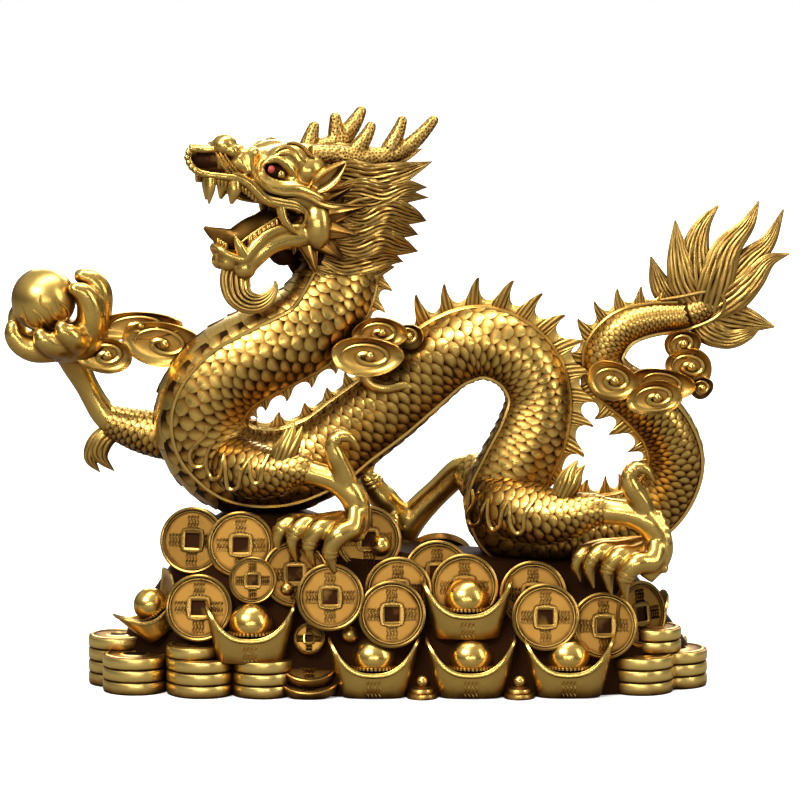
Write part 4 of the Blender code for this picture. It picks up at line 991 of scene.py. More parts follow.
def antlerSkin():
    shapes = []
    for side, beams in antlers.items():
        for rows in beams:
            shapes.append(headBar(rows, 26, 12, side))
            shapes.append(headEgg(rows[-1][:3], [rows[-1][3]] * 3, side, 12))
    skin = grown(shapes, stipple["voxel"], stipple["smooth"])
    random = np.random.default_rng(stipple["seed"])
    pits = []
    taken = {}
    for k in random.permutation(len(skin["points"])):
        p = skin["points"][k]
        cell = tuple((p // stipple["gap"]).astype(int))
        close = [q for dx in (-1, 0, 1) for dy in (-1, 0, 1) for dz in (-1, 0, 1)
                 for q in taken.get((cell[0] + dx, cell[1] + dy, cell[2] + dz), ())]
        if all(np.sum((p - q) ** 2) > stipple["gap"] ** 2 for q in close):
            taken.setdefault(cell, []).append(p)
            pits.append(p)
    tree = KDTree(stipple["most"])
    for i, p in enumerate(pits[:stipple["most"]]):
        tree.insert(p, i)
    tree.balance()
    away = np.array([tree.find(p)[2] for p in skin["points"]])
    inside = smoothStep(stipple["pit"] * 1.25, stipple["pit"] * 0.4, away)
    mesh = flatMesh("pitted", skin)
    normals = np.zeros(len(mesh.vertices) * 3)
    mesh.vertex_normals.foreach_get("vector", normals)
    bpy.data.meshes.remove(mesh)
    skin["points"] -= normals.reshape(-1, 3) * (inside * stipple["deep"])[:, None]
    # the pits are darkened: patina and painted shade
    skin["dirt"] = np.maximum(skin["dirt"] * 0.5, inside)
    return skin


newPiece("head", [headSkin()], smoothBrass, 60)
details = headDetails()
for side in (1, -1):
    details.append(leafOf(inHead(ear, side), headAxes[1] * side, earRelief, 1.6))
    details += [frillLeaf(root, tip, half, side) for root, tip, half in frill]
newPiece("face_details", details, smoothBrass)
newPiece("antlers", [antlerSkin()], hornBrass, 60)
newPiece("red_eyes", [headEgg(*eyes["red spot"], side) for side in (1, -1)], redPaint)
print("head built")


# Hair: each lock is a flat bar with grooves, ending in a point
maneLook = {
    "sides": 74, "steps": 27, "ridges": 17, "depth": 0.27, "flat": 0.75, "swirl": 0.35,
    # patina and painted shade of the core below the locks; the throat's place, half sizes and painted shade,
    # a dark egg in the throat
    "coreShadeAndPatina": 0.5, "throat": ((7, 5, -26), (8, 6, 6.4)), "throatShade": 0.85,
}
beardLook = {"sides": 90, "steps": 40, "ridges": 15, "depth": 0.24, "flat": 0.7}
mane = [
    [(-6, 12, 14, 3), (-16, 15, 15, 7), (-30, 15.5, 12, 7.5), (-46, 15, 13, 6.2), (-58, 14, 15.5, 3),
     (-67, 13, 17.8, 0.2)],
    [(-10, 17, 6, 3), (-22, 19, 7, 6.4), (-36, 19, 3.5, 6.4), (-50, 17.5, 6, 4.2), (-62.5, 16, 5.4, 0.2)],
    [(-14, 18, 2, 3), (-28, 19.5, -1, 5.6), (-44, 18.5, 2, 4.8), (-63.4, 16, 0.2, 0.2)],
    [(-12, 18, -5, 3), (-24, 20, -8, 6.4), (-38, 19.5, -4, 6.6), (-52, 18, -8, 4.8),
     (-61.8, 17, -11.4, 0.2)],
    [(-10, 18, -13, 3), (-22, 20.5, -14, 6.2), (-36, 19.5, -11, 5.6), (-48, 18, -15, 4.2),
     (-57, 17, -18, 0.2)],
    [(-8, 18, -20, 3), (-20, 20.5, -22, 6.6), (-34, 19.5, -19, 6.6), (-46, 18, -23, 5),
     (-57, 17, -26.4, 0.2)],
    [(-4, 16, -27, 3), (-14, 19, -31, 6.4), (-28, 18.5, -30, 6.2), (-40, 17, -29, 4.2),
     (-49, 16, -31.2, 0.2)],
    [(2, 13, -31, 0.5), (-10, 16.5, -36, 5.6), (-24, 16.5, -37.5, 5.4), (-38, 14, -34.5, 3.2),
     (-46, 13, -34, 0.2)],
    [(-10, 5, 20, 3), (-24, 7.5, 21, 6.8), (-40, 9, 19.5, 5.6), (-54, 8.5, 21, 3), (-64, 8, 24, 0.2)],
]
maneCore = [(0, -6, 15, 24), (-14, -6, 19, 27), (-30, -7, 19, 26), (-44, -6, 14, 19), (-54, -4, 7, 10)]
beardRows = [(-80, 216, -24, 7.0), (-81.5, 208, -25, 7.8), (-80, 201, -27, 7.2), (-75.5, 197, -28, 6.0),
             (-69.5, 196.5, -28, 4.8), (-64.6, 199.5, -28, 3.4), (-61.5, 204.5, -28, 1.6),
             (-61.8, 207.5, -28, 0.5)]


def lockOf(rows, look, swirl=0.0):
    tube = tubeOf(rows, look["steps"])
    return barOf(tube, look["sides"], look["flat"], look["ridges"], look["depth"], swirl)


def maneShapes():
    core = headLoft(maneCore)
    core["dirt"][:] = maneLook["coreShadeAndPatina"]
    # the core and the throat egg are darkened: painted shade between the locks and under the head
    shapes = [core, headEgg(*maneLook["throat"], -1, dirt=maneLook["throatShade"])]
    for side in (1, -1):
        shapes += [lockOf(inHead(rows, side), maneLook, maneLook["swirl"] * side) for rows in mane]
    shapes.append(lockOf(drawn(beardRows), beardLook))
    return shapes


newPiece("mane_and_beard", maneShapes(), hairBrass)
print("mane built")


# Limbs: across, up, depth, half width. The upper part is scaled, the lower part bare
limbLook = {
    "columns": 12, "pitch": 0.5, "voxel": 0.9, "smooth": 3,
    # the scales' half width in columns, their length in rows and how far their foot lies below the drawing
    "places": 60, "half": 0.525, "length": 2.9, "below": 0.7,
    # the plain tube below the scales, darkened with patina and with painted shade in the gaps between them
    "tubeSides": 24, "tubeBelow": 0.3, "tubeShadeAndPatina": 0.9,
}
toeLook = {
    "places": 36, "sides": 14,
    # where the talon begins, how far it reaches back into the toe, its least half width there,
    # and how much of its width it keeps
    "cut": 0.72, "into": 0.06, "talon": 2.6, "slim": 0.92,
    # how much thicker the knuckle is, where, and how far it reaches
    "knuckle": (0.10, 0.45, 0.09),
    # how far before the talon the bands are, and their three widths
    "bands": (0.02, 0.08), "band": (1.02, 1.1, 1.02),
}
tuftLook = {
    "sides": 40, "steps": 20, "ridges": 9, "depth": 0.18, "flat": 0.75,
    # how far aside each lock lies, and its share of the height
    "locks": ((0, 1.0), (3.2, 0.8), (-3.2, 0.75)),
    "spread": (0.4, 0.25), "drop": 4, "back": 0.6, "wide": 0.72,
}
limbs = {
    "near_foreleg": {
        "upper": [(-88, 122, -8, 12), (-78, 115, -20, 14), (-64, 112.5, -28, 12.5), (-52, 114.3, -33, 9.2),
                  (-44, 113, -34.6, 6.4)],
        "fore": [(-54, 114.5, -33, 8), (-44, 112.5, -35, 6.2), (-33, 109, -37, 6.2), (-24.5, 103, -38, 7),
                 (-21, 95, -38, 6.6), (-20.5, 86, -39, 5.4), (-25, 80, -41, 4)],
        "tuft": [(-60, 116, -36, 5.5), (-57, 124, -37, 6.5), (-54, 131, -37, 4), (-52, 138, -37, 0.3)],
        "toes": [
            [(-22, 94, -41, 4.6), (-23.5, 85.5, -45, 5.2), (-30, 82, -48, 5.2), (-34.4, 73, -48, 4.0),
             (-31.5, 60.5, -46, 0.7)],
            [(-25, 90, -34, 3.6), (-31, 86.5, -40, 4.4), (-40, 84.6, -44, 4.8), (-44.6, 76, -44, 3.8),
             (-42, 64.8, -43, 0.7)],
            [(-27, 91, -29, 3.4), (-38, 87.5, -35, 4.2), (-48.6, 86.4, -39, 4.6), (-53, 78, -39.5, 3.6),
             (-51.5, 68.6, -39, 0.7)],
            [(-28, 91, -24, 3.2), (-44, 88, -29, 4), (-56, 87.2, -34, 4.4), (-60.6, 79, -34.5, 3.4),
             (-59.2, 70.2, -34, 0.7)],
            [(-26, 103, -38, 6), (-27.6, 112, -40, 5.4), (-31.6, 121, -42, 4.6), (-33.4, 127, -43, 3.8),
             (-29.4, 130.6, -43, 3.4), (-24, 129.4, -43, 2.4), (-20.6, 124.4, -43, 0.5)],
        ],
        "heel": [(-20.4, 105, -40), (-18.2, 98, -41), (-17.6, 89, -41), (-19.5, 81, -42)],
        "wrinkles": [(-28, 119, -41), (-26.2, 115, -41), (-24.2, 111, -41)],
    },
    "near_hindleg": {
        "upper": [(44, 104, -6, 12), (54, 96, -18, 15), (70, 91, -27, 14.5), (84, 91.5, -32, 12),
                  (95, 93.8, -35, 8.8), (103, 93.6, -36, 6.6)],
        "fore": [(92, 94.5, -34, 8.4), (103, 93.5, -36, 6.8), (114, 92, -38, 6.8), (123, 88, -39, 7.4),
                 (128, 80, -39, 6.8), (128.5, 71, -40, 6), (121.5, 60, -42, 4)],
        "tuft": [(80, 101, -36, 6), (83, 108, -37, 6.5), (85, 114, -37, 4), (88, 119, -37, 0.3)],
        "toes": [
            [(127, 77, -42, 4.8), (124.5, 69, -46, 5.2), (116.5, 67.6, -49, 5.2), (111, 60, -49, 4.0),
             (112, 49.5, -47, 0.7)],
            [(124, 76, -35, 3.8), (116, 72.5, -41, 4.6), (107.5, 71, -45, 4.7), (102.8, 63, -45, 3.8),
             (104.6, 52.5, -44, 0.7)],
            [(122, 78, -30, 3.6), (108, 75, -36, 4.3), (98.5, 73.4, -40, 4.4), (93.8, 65.4, -40, 3.5),
             (96, 55.4, -39, 0.7)],
            [(120, 78, -25, 3.4), (102, 75.6, -31, 4.1), (91.5, 72.8, -35, 4.2), (87.4, 66, -35, 3.3),
             (89.5, 58.5, -34, 0.7)],
            [(121.5, 90, -39, 6), (119, 98, -41, 5.4), (114.4, 105, -43, 4.6), (112.6, 111, -44, 3.8),
             (116.8, 115, -44, 3.4), (122, 113.6, -44, 2.4), (125.4, 108.8, -44, 0.5)],
        ],
        "heel": [(128, 92, -41), (131.5, 84, -42), (132.4, 75, -42), (130.6, 65, -43)],
        "wrinkles": [(118, 104, -42), (119.8, 100, -42), (121.8, 96, -42)],
    },
    "far_hindleg": {
        "upper": [(48, 104, 8, 13), (42, 108, 18, 13.5), (34, 114, 25, 9)],
        "fore": [(38, 113, 24, 9), (30, 112, 28, 7.4), (20, 103, 31, 6.8), (10, 93, 33, 7.4),
                 (3, 84, 34, 8), (0, 72, 35, 6)],
        "tuft": [(44, 117, 24, 5), (50, 124, 26, 5), (57, 132, 24, 2.8), (62, 138, 20, 0.3)],
        "toes": [
            [(0, 82, 38, 5), (-9, 72, 42, 4.8), (-15, 66, 42, 3.6), (-15, 56, 42, 0.4)],
            [(-1, 86, 32, 5), (-16, 76, 34, 4.6), (-23, 70, 34, 3.4), (-24, 60, 34, 0.4)],
            [(0, 87, 26, 5), (-20, 80, 26, 4.6), (-28, 74, 26, 3.4), (-29, 64, 26, 0.4)],
            [(6, 85, 33, 6.5), (-5, 95, 31, 6.6), (-13, 104, 29, 6.2), (-17, 112, 28, 5),
             (-12, 118, 28, 0.4)],
        ],
        "heel": [],
    },
    "raised_arm": {
        "upper": [(-96, 130, 8, 14), (-112, 130, 14, 12.5), (-130, 133, 17, 11), (-147, 138.5, 18, 8)],
        "fore": [(-143, 137, 18, 8), (-150, 143, 18, 6.6), (-157, 155, 17, 6), (-162, 165, 14, 7.2),
                 (-166, 175, 10, 9)],
        "tuft": [(-144, 134, 18, 6), (-151, 128, 18, 6.4), (-153, 121, 18, 4.6), (-147.5, 115, 18, 0.3)],
        "toes": [],
        "heel": [],
    },
}
# blunt fingers and broad finger tips that hold the pearl
fingers = [
    [(-172, 174, -8, 7), (-182, 173.6, -10, 6.6), (-189, 176.5, -11, 5.6), (-192.4, 181, -12, 4.6),
     (-192.6, 185, -12, 3.6)],
    [(-166, 176, -10, 7), (-172, 175.8, -15, 6.4), (-177, 178.6, -18, 5.2), (-178.6, 181, -18.5, 3.8)],
    [(-160, 178, -9, 7.5), (-163, 179.6, -15, 6.4), (-167, 182.6, -18, 5.0), (-168, 184.6, -18.5, 3.6)],
    [(-157, 180, -4, 8.4), (-154, 188, -7, 7.6), (-154.5, 196, -9, 6.6), (-157.6, 201.5, -11, 5.4),
     (-161.5, 203.6, -13, 3.6)],
    [(-153, 183, 2, 7), (-150, 193, 2, 6.4), (-150, 202, 1, 6.6), (-153.6, 208, 0, 5.8),
     (-158.6, 210.2, -2, 4.0)],
    [(-176, 174, 8, 6.4), (-189, 180, 12, 5), (-193, 190, 11, 3.6), (-190, 198, 8, 2.2)],
]
palm = {"at": (-166, 178, 1), "half": (21, 15, 11)}


def toeShapes(rows):
    # a fleshy toe that ends in a sharp talon, with two bands where the talon begins
    tube = tubeOf(drawn(rows), toeLook["places"])
    share = tube["run"] / tube["run"][-1]
    cut, sides = toeLook["cut"], toeLook["sides"]
    more, middle, reach = toeLook["knuckle"]
    knuckle = 1 + more * np.exp(-((share - middle) / reach) ** 2)
    fleshy = {k: v[share <= cut] for k, v in tube.items()}
    fleshy["half"] = fleshy["half"] * knuckle[share <= cut]
    sharp = share >= cut - toeLook["into"]
    talon = {k: v[sharp] for k, v in tube.items()}
    thin = smoothStep(1.0, cut, share[sharp])
    talon["half"] = np.maximum(talon["half"], toeLook["talon"] * thin) * toeLook["slim"]
    bands = []
    for before in toeLook["bands"]:
        at = np.searchsorted(share, cut - before)
        ring = {k: v[at - 1: at + 2] for k, v in tube.items()}
        ring["half"] = ring["half"] * toeLook["band"]
        bands.append(barOf(ring, sides))
    return barOf(fleshy, sides), barOf(talon, sides), bands


def scaledUpper(rows):
    tube = tubeOf(drawn(rows), limbLook["places"])
    columns = limbLook["columns"]

    def pitch(half):
        return limbLook["pitch"] * 2 * math.pi * half / columns

    where = rowsAlong(tube, 0, tube["run"][-1] - 1.0, pitch)
    wide = 2 * math.pi / columns
    odd = np.arange(len(where)) % 2
    half = np.full(len(where), wide * limbLook["half"])
    length = rowSteps(where) * limbLook["length"]
    spots = [np.column_stack([where, (k + odd * 0.5) * wide, half, length]) for k in range(columns)]
    tube["half"] = tube["half"] - limbLook["below"]
    base = {**tube, "half": tube["half"] - limbLook["tubeBelow"]}
    scales = platesOf(tube, *np.vstack(spots).T, scaleLook)
    return [scales, barOf(base, limbLook["tubeSides"], dirt=limbLook["tubeShadeAndPatina"])]


def tuftShapes(rows):
    # three grooved locks side by side
    shapes = []
    first, more = tuftLook["spread"]
    for k, (aside, share) in enumerate(tuftLook["locks"]):
        bent = []
        for i, (across, up, depth, half) in enumerate(rows):
            across += aside * (first + more * i)
            up -= (1 - share) * i * tuftLook["drop"]
            bent.append((across, up, depth + tuftLook["back"] * k, half * tuftLook["wide"]))
        shapes.append(lockOf(drawn(bent), tuftLook))
    return shapes


def limbShapes(limb):
    skin, talons = [barOf(tubeOf(drawn(limb["fore"]), 40), 18)], []
    for rows in limb["toes"]:
        fleshy, talon, bands = toeShapes(rows)
        skin.append(fleshy)
        talons += [talon, *bands]
    if limb["heel"]:
        knobs = smoothRows([(*row, 0) for row in limb["heel"]], 8)[:, :3]
        skin += [eggOf(at, (2.6, 2.4, 2.4), sides=10) for at in drawn(knobs)]
        skin += [eggOf(at, (1.9, 3.4, 1.7), sides=10) for at in drawn(limb["wrinkles"])]
    return skin, talons


for word, limb in limbs.items():
    skin, talons = limbShapes(limb)
    if word == "raised_arm":
        skin.append(eggOf(drawn(palm["at"]), palm["half"], sides=24))
        skin += [barOf(tubeOf(drawn(rows), 30), 16) for rows in fingers]
        skin += [eggOf(drawn(rows[-1][:3]), [rows[-1][3]] * 3, sides=12) for rows in fingers]
    newPiece(f"{word}_claw", [grown(skin, limbLook["voxel"], limbLook["smooth"]), *talons], smoothBrass, 60)
    newPiece(f"{word}_scales", [*scaledUpper(limb["upper"]), *tuftShapes(limb["tuft"])], brass)
print("limbs built")


# Raised loops of flame on the shoulder and the hip: across and up in the front drawing
loops = {
    "half": 1.2,
    # how near the skin's points are looked for, and over how many places the depth is evened out, either way
    "reach": 1.6, "even": 7,
    # the run of the trunk that each limb's loops may lie on
    "over": {"near_foreleg": (0.1, 0.3), "near_hindleg": (0.5, 0.66)},
    "near_foreleg": [
        [(-96, 136), (-96.6, 131), (-102.6, 125), (-104.6, 120.4), (-102.6, 115.6), (-97.6, 116),
         (-96, 121), (-94, 126)],
        [(-95.4, 123), (-96.2, 115.4), (-93.4, 109.6), (-89, 110.8), (-88, 117.6), (-87, 122)],
        [(-87.2, 122), (-86, 109), (-84.6, 104.4), (-80.4, 105.4), (-78.6, 112.4), (-74.4, 119.4)],
        [(-74.6, 119), (-74, 111.4), (-72, 107.4), (-69, 108.8), (-68, 115), (-65, 121.4)],
    ],
    "near_hindleg": [
        [(36, 104), (36.6, 97), (33.6, 91), (35.6, 86), (40, 87.6), (41, 94), (43.6, 99.6)],
        [(43.6, 99.6), (43.6, 90), (45.6, 84.6), (49.4, 86), (50.6, 93), (54, 99)],
        [(54, 99), (54.6, 88), (57.4, 82.6), (61, 84.6), (61.6, 91.6), (66, 98.4)],
    ],
}


def tapered(half, count, ends):
    # half widths that thin out towards both ends of a line
    return half * np.sin(math.pi * np.linspace(ends, 1 - ends, count)) ** 0.4


def loopShapes(limb, skins):
    # the loops lie on the foremost skin of what the drawing shows there
    points = np.vstack([skin["points"] for skin in skins])
    up = points[:, 2] * tiltCos + (points[:, 1] + drawing["frontDepth"]) * tiltSin
    shapes = []
    for rows in loops[limb]:
        path = smoothRows([(a, b, 0) for a, b in rows], 50)[:, :2]
        depth = []
        for a, b in path:
            near = (np.abs(points[:, 0] - a) < loops["reach"]) & (np.abs(up - b) < loops["reach"])
            depth.append(points[near, 1].min() if near.any() else depth[-1])
        blur = np.ones(2 * loops["even"] + 1)
        depth = np.convolve(np.pad(depth, loops["even"], mode="edge"), blur / len(blur), "valid")
        line = drawn(np.column_stack([path, depth]))
        shapes.append(barOf(tubeOf(np.column_stack([line, tapered(loops["half"], len(path), 0.08)]), 50),
                            8))
    return shapes


flameLoops = []
for word, (start, stop) in loops["over"].items():
    skins = trunkSkin(trunkLength * start, trunkLength * stop) + scaledUpper(limbs[word]["upper"])
    flameLoops += loopShapes(word, skins)
newPiece("flame_loops", flameLoops, brass)


# The tail's flame of hair
tailHair = [
    [(146, 191, 2, 6), (134, 200, 2, 6), (129, 208, 2, 5), (125, 220, 0, 0.5)],
    [(150, 193, 1, 8), (142, 206, 0, 8), (139, 220, 0, 6), (137, 238, 0, 0.5)],
    [(152, 193, 2, 8.5), (149, 209, 2, 9), (147.5, 224, 2, 7), (151, 236, 2, 4.2), (158.5, 245.5, 1, 0.5)],
    [(153, 194, 0, 9), (158, 210, -1, 9.4), (163, 224, -1, 7.2), (173, 236, -1, 4.0),
     (178.5, 247.5, -1, 0.5)],
    [(154, 194, 2, 9), (165, 207, 3, 9), (174, 218, 3, 6.8), (184, 228, 3, 4.0), (191, 243.5, 2, 0.5)],
    [(153, 193, 1, 8.5), (167, 201, 0, 8.4), (176, 209, 0, 6.4), (184, 218, 0, 3.6), (194, 221.5, 0, 0.5)],
    [(150, 193, 2, 8), (164, 190, 3, 8), (175, 188, 3, 6), (187, 185, 0, 0.5)],
    [(148, 191, 1, 7), (154, 183, 0, 7), (164, 179, 0, 5.2), (173, 181, -1, 3.4), (180, 185, 0, 0.5)],
]
# the tail ends in a round tip over the hair, with a cord round it
tailTip = [(141, 190.6, 0, 7.6), (149, 193, 0, 6.9), (154, 195, 0, 5.8), (157, 196.4, 0, 3.8),
           (158.6, 197.2, 0, 0.8)]
tailCord = [(130, 198.4, -4.5, 0.6), (140, 200, -4.5, 0.9), (150, 202, -4.5, 1.0), (157, 202.4, -4.5, 1.0),
            (161.4, 198.6, -4.5, 1.0), (160.6, 193, -4.5, 1.0), (155.6, 188.6, -4.5, 1.0),
            (148, 185.2, -4.5, 0.9), (142, 183.6, -4, 0.4)]
tailLook = {
    "sides": 76, "steps": 30, "ridges": 17, "depth": 0.22, "flat": 0.6, "swirl": 0.3,
    # place, half sizes, and patina and painted shade of the core between the locks
    "core": ((154, 199, 1), (12, 4, 12)), "coreShadeAndPatina": 0.4,
}


def tailShapes():
    at, half = tailLook["core"]
    shapes = [eggOf(drawn(at), half, sides=24, dirt=tailLook["coreShadeAndPatina"])]
    shapes += scaledUpper(tailTip) + [barOf(tubeOf(drawn(tailCord), 60), 8)]
    for k, rows in enumerate(tailHair):
        shapes.append(lockOf(drawn(rows), tailLook, tailLook["swirl"] * (1 if k % 2 else -1)))
    return shapes


newPiece("tail_hair", tailShapes(), hairBrass)
print("tail built")


# Clouds: across, up, depth, half length, half height, turn in degrees
clouds = [
    (-119, 177, 2, 20, 11.5, -12), (-131, 186, 4, 21, 7.5, 2), (-147, 171, -3, 14, 9, 4),
    (-16.5, 170.5, -24, 19, 9.5, -4), (-10, 182, -19, 13.5, 8, -4), (4, 180.5, -17, 7.5, 6.5, 0),
    (105.5, 158.5, -15, 13.5, 9.5, -10), (126.5, 150, -18, 14.5, 8.5, 4), (131, 157, -13, 15.5, 8, -12),
    (140.5, 176.5, -7, 9, 7.5, 20), (144, 165.5, -8, 12.5, 9, -10), (150, 155, -10, 6, 5.5, 0),
]
cloudLook = {"spiralTurns": 1.45, "spiral": 1.5, "sides": 52}
cloudWisp = [(-18, 162, -20, 3.0), (-15, 157, -20, 3.2), (-8, 154.4, -20.5, 3), (2, 155.6, -18.5, 2.4),
             (9, 154, -18, 1.8), (14, 149, -17, 0.4)]
# a dish with a thin raised edge, from the middle of the front to the back: share of the outline, depth, and
# patina and painted shade. The dish and the sides that turn back are darkened as painted shade
cloudStations = [
    (0.02, -2.2, 0.35), (0.3, -2.0, 0.4), (0.55, -2.0, 0.35), (0.74, -2.5, 0.2), (0.86, -3.3, 0.1),
    (0.93, -4.3, 0), (0.965, -4.7, 0), (0.99, -4.3, 0), (1.0, -3.2, 0.2), (0.99, -1.6, 0.6),
    (0.95, 0.5, 0.6), (0.8, 5, 0.3), (0.6, 9, 0.25),
]


def cloudShapes(seed, across, up, depth, long, high, turn):
    centre = drawn((across, up, depth))
    a = math.radians(turn)
    axes = np.array([(math.cos(a), 0, math.sin(a)), (0, 1, 0), (-math.sin(a), 0, math.cos(a))])
    turns = np.linspace(0, 2 * math.pi, cloudLook["sides"], endpoint=False)
    bent = 1 + 0.055 * np.sin(2 * turns + 1.7 * seed) + 0.035 * np.sin(3 * turns + 2.3 * seed)
    rings = []
    for share, deep, _ in cloudStations:
        reach = (long * share * bent * np.cos(turns), high * share * bent * np.sin(turns))
        rings.append(np.stack([reach[0], np.full_like(turns, deep), reach[1]], -1))
    shapes = [ringSheet(centre + np.array(rings) @ axes, [row[2] for row in cloudStations])]
    # a spiral that rises from the left, over the top and into the middle
    t = np.linspace(0, 1, 52)
    angle = 1.08 * math.pi - t * cloudLook["spiralTurns"] * 2 * math.pi
    reach = 0.66 * (1 - t) ** 0.9 + 0.05
    line = np.stack([long * (reach * np.cos(angle) + 0.04), -2.6 - 2.0 * t, high * reach * np.sin(angle)],
                    -1)
    half = cloudLook["spiral"] * min(1, high / 9) * np.minimum(0.25 + 1.6 * t, 0.8 + 0.35 * t)
    curl = tubeOf(np.column_stack([centre + line @ axes, half]), 60)
    shapes.append(barOf(curl, 8))
    shapes.append(eggOf(centre + line[-1] @ axes, [1.5 * half[-1]] * 3, sides=12))
    return shapes


cloudParts = [shape for i, row in enumerate(clouds) for shape in cloudShapes(i, *row)]
cloudParts.append(barOf(tubeOf(drawn(cloudWisp), 24), 12))
newPiece("clouds", cloudParts, smoothBrass)
print("clouds built")


# The heap under the dragon
mound = [(-150, 14, 10), (-136, 26, 26), (-98, 42, 77), (-60, 47, 86), (0, 50, 68), (70, 49, 62),
         (108, 43, 58), (126, 34, 42), (150, 14, 10)]
# across, up, depth, turn about the vertical, lean back, small
coins = [
    (-103, 78.5, -22, -14, 12, False), (-79, 76.5, -32, -2, 12, False), (-73, 59, -41, 0, 14, True),
    (-99.5, 45.5, -43, -6, 12, False), (-34.5, 51, -49, 0, 14, False), (-4, 42.5, -49, 2, 12, False),
    (-1, 54, -39, 0, 14, False), (18.5, 62, -28, 4, 16, False), (32, 55.5, -37, 0, 14, False),
    (66, 52, -37, 2, 14, False), (72, 41, -46, 0, 12, False), (101, 36.5, -41, 6, 12, False),
    (119, 42, -29, 42, 8, False), (-16, 79, -22, 10, 14, False), (-52, 62, -37, 6, 16, False),
]
coinLook = {"radius": 16.8, "small": 11.8, "thick": 4.2, "hole": 7.4, "sides": 48}
backCoins = [(-96, 52, 27), (-62, 44, 20), (-16, 50, 30), (52, 42, 24), (-38, 31, 15), (19, 33, 15),
             (86, 31, 16), (-72, 70, 42), (20, 57, 40), (84, 51, 38)]
leaningCoins = [(-45, 10, -43, 24, 1.0), (-45, 17, -42, 30, 0.92), (-45, 30, -45, 62, 0.5)]
stacks = [(-141, -10, 4, 0.93), (-131.6, -30, 3, 1.02), (-98.4, -39, 3, 1.02), (-102, -38, 4, 0.87),
          (-68, -41, 3, 0.96), (120, -31, 3, 1), (127, -22, 5, 0.82), (137.5, -14, 3, 1)]
backStacks = [(-118, 27, 3, 1), (-92, 36, 3, 1), (-34, 42, 2, 1), (36, 42, 2, 1), (100, 34, 3, 1),
              (129, 17, 3, 1)]
stackLook = {
    "radius": 16.2, "thick": 6.2, "sides": 48,
    # the edge of one coin: share of its height, how much wider than the radius, and patina and painted shade
    # in the grooves
    "edge": ((0.03, -0.9, 1), (0.09, -0.25, 0.3), (0.2, 0, 0), (0.5, 0.1, 0), (0.8, 0, 0),
             (0.91, -0.25, 0.1), (0.97, -0.9, 1)),
    # the rings of the top one: height over it, how much wider than the radius, and patina and painted shade
    "top": ((0.1, -1.6, 0), (0.1, -2.6, 0), (-0.5, -3.0, 0.9), (-0.5, -8.5, 0.4), (-0.1, -9.2, 0),
            (-0.1, -10.4, 0), (-0.7, -10.9, 1), (-0.7, -20, 1)),
}
# across, up, depth, turn about the vertical, roll, share of the full size
ingots = [
    (-74, 19, -45, 0, 0, 1), (-13, 0.5, -46, 0, 0, 1), (33, 31, -41, 2, 0, 1), (35, 0.5, -46, 0, 0, 1),
    (83.5, 0.5, -45, 0, 0, 1), (-116, 36, -26, 24, -38, 0.78), (117, 24, -12, 20, -6, 0.88),
    (-66, 10, 42, 180, 0, 0.9), (2, 4, 44, 176, 0, 0.9), (70, 8, 43, 184, 0, 0.9),
]
ingotLook = {
    "long": 22.9, "deep": 12.5, "high": 27, "dome": 11.0, "beads": 34,
    # how square the outline is, how narrow and how high its raised ends are, and how far the mark leans back
    "sides": 72, "square": 0.66, "endPower": 1.7, "rise": 1.12, "markSlope": 14,
}
beads = [(-56, 55, -41, 3.4), (-25, 32.5, -46, 4.4), (-9.5, 76, -26, 5.3)]
knobs = [(11, -51), (59, -51)]
# height and radius of a knob's rings, their patina and painted shade, and the ball on top
knobLook = {
    "profile": [(0, 0.1), (0, 7.6), (2.2, 7.2), (2.6, 6.4), (4.6, 5.6), (5, 4.8), (6.2, 2)],
    "dirt": [1, 1, 0, 1, 0, 1, 0], "sides": 32, "ballAt": 8.1, "ball": (3.2, 3.2, 3.2),
}


def turnAbout(axis, degrees):
    return np.array(Matrix.Rotation(math.radians(degrees), 3, axis))


def moved(shape, axes, at):
    return {**shape, "points": shape["points"] @ np.asarray(axes).T + np.array(at)}


def turned(profile, sides, dirt):
    # a solid turned about the upright axis, from pairs of height and radius
    turns = np.linspace(0, 2 * math.pi, sides, endpoint=False)
    rings = [np.stack([r * np.cos(turns), r * np.sin(turns), np.full_like(turns, z)], -1) for z,
             r in profile]
    return ringSheet(rings, dirt)


def strokeShape(x, z, long, turn, half=0.4, lift=0.85):
    # a short raised stroke on a face that looks to the front
    a = math.radians(turn)
    middle = np.array((x, 0, z))
    reach = np.array((long / 2 * math.cos(a), 0, long / 2 * math.sin(a)))
    first, last = middle - reach, middle + reach
    rows = [(*(first + (last - first) * t), half) for t in (0, 0.3, 0.7, 1)]
    return barOf(tubeOf(rows, 4), 5, flat=lift / half)


# rows and columns of strokes, their slant in turn, and in shares of the mark's size: how long they are,
# how much longer they may be, and how far apart
markLook = {"rows": 4, "columns": 4, "slants": (122, 58), "long": 0.17, "longer": 0.05,
            "gaps": (0.22, 0.25)}


def markShapes(x, z, size, seed):
    # rows of short strokes in place of writing: they are not letters
    random = np.random.default_rng(seed)
    shapes = []
    for row in range(markLook["rows"]):
        high = z + (row - (markLook["rows"] - 1) / 2) * size * markLook["gaps"][1]
        for column in range(markLook["columns"]):
            across = x + (column - (markLook["columns"] - 1) / 2) * size * markLook["gaps"][0]
            long = size * (markLook["long"] + markLook["longer"] * random.random())
            shapes.append(strokeShape(across, high, long, markLook["slants"][row % 2]))
    return shapes


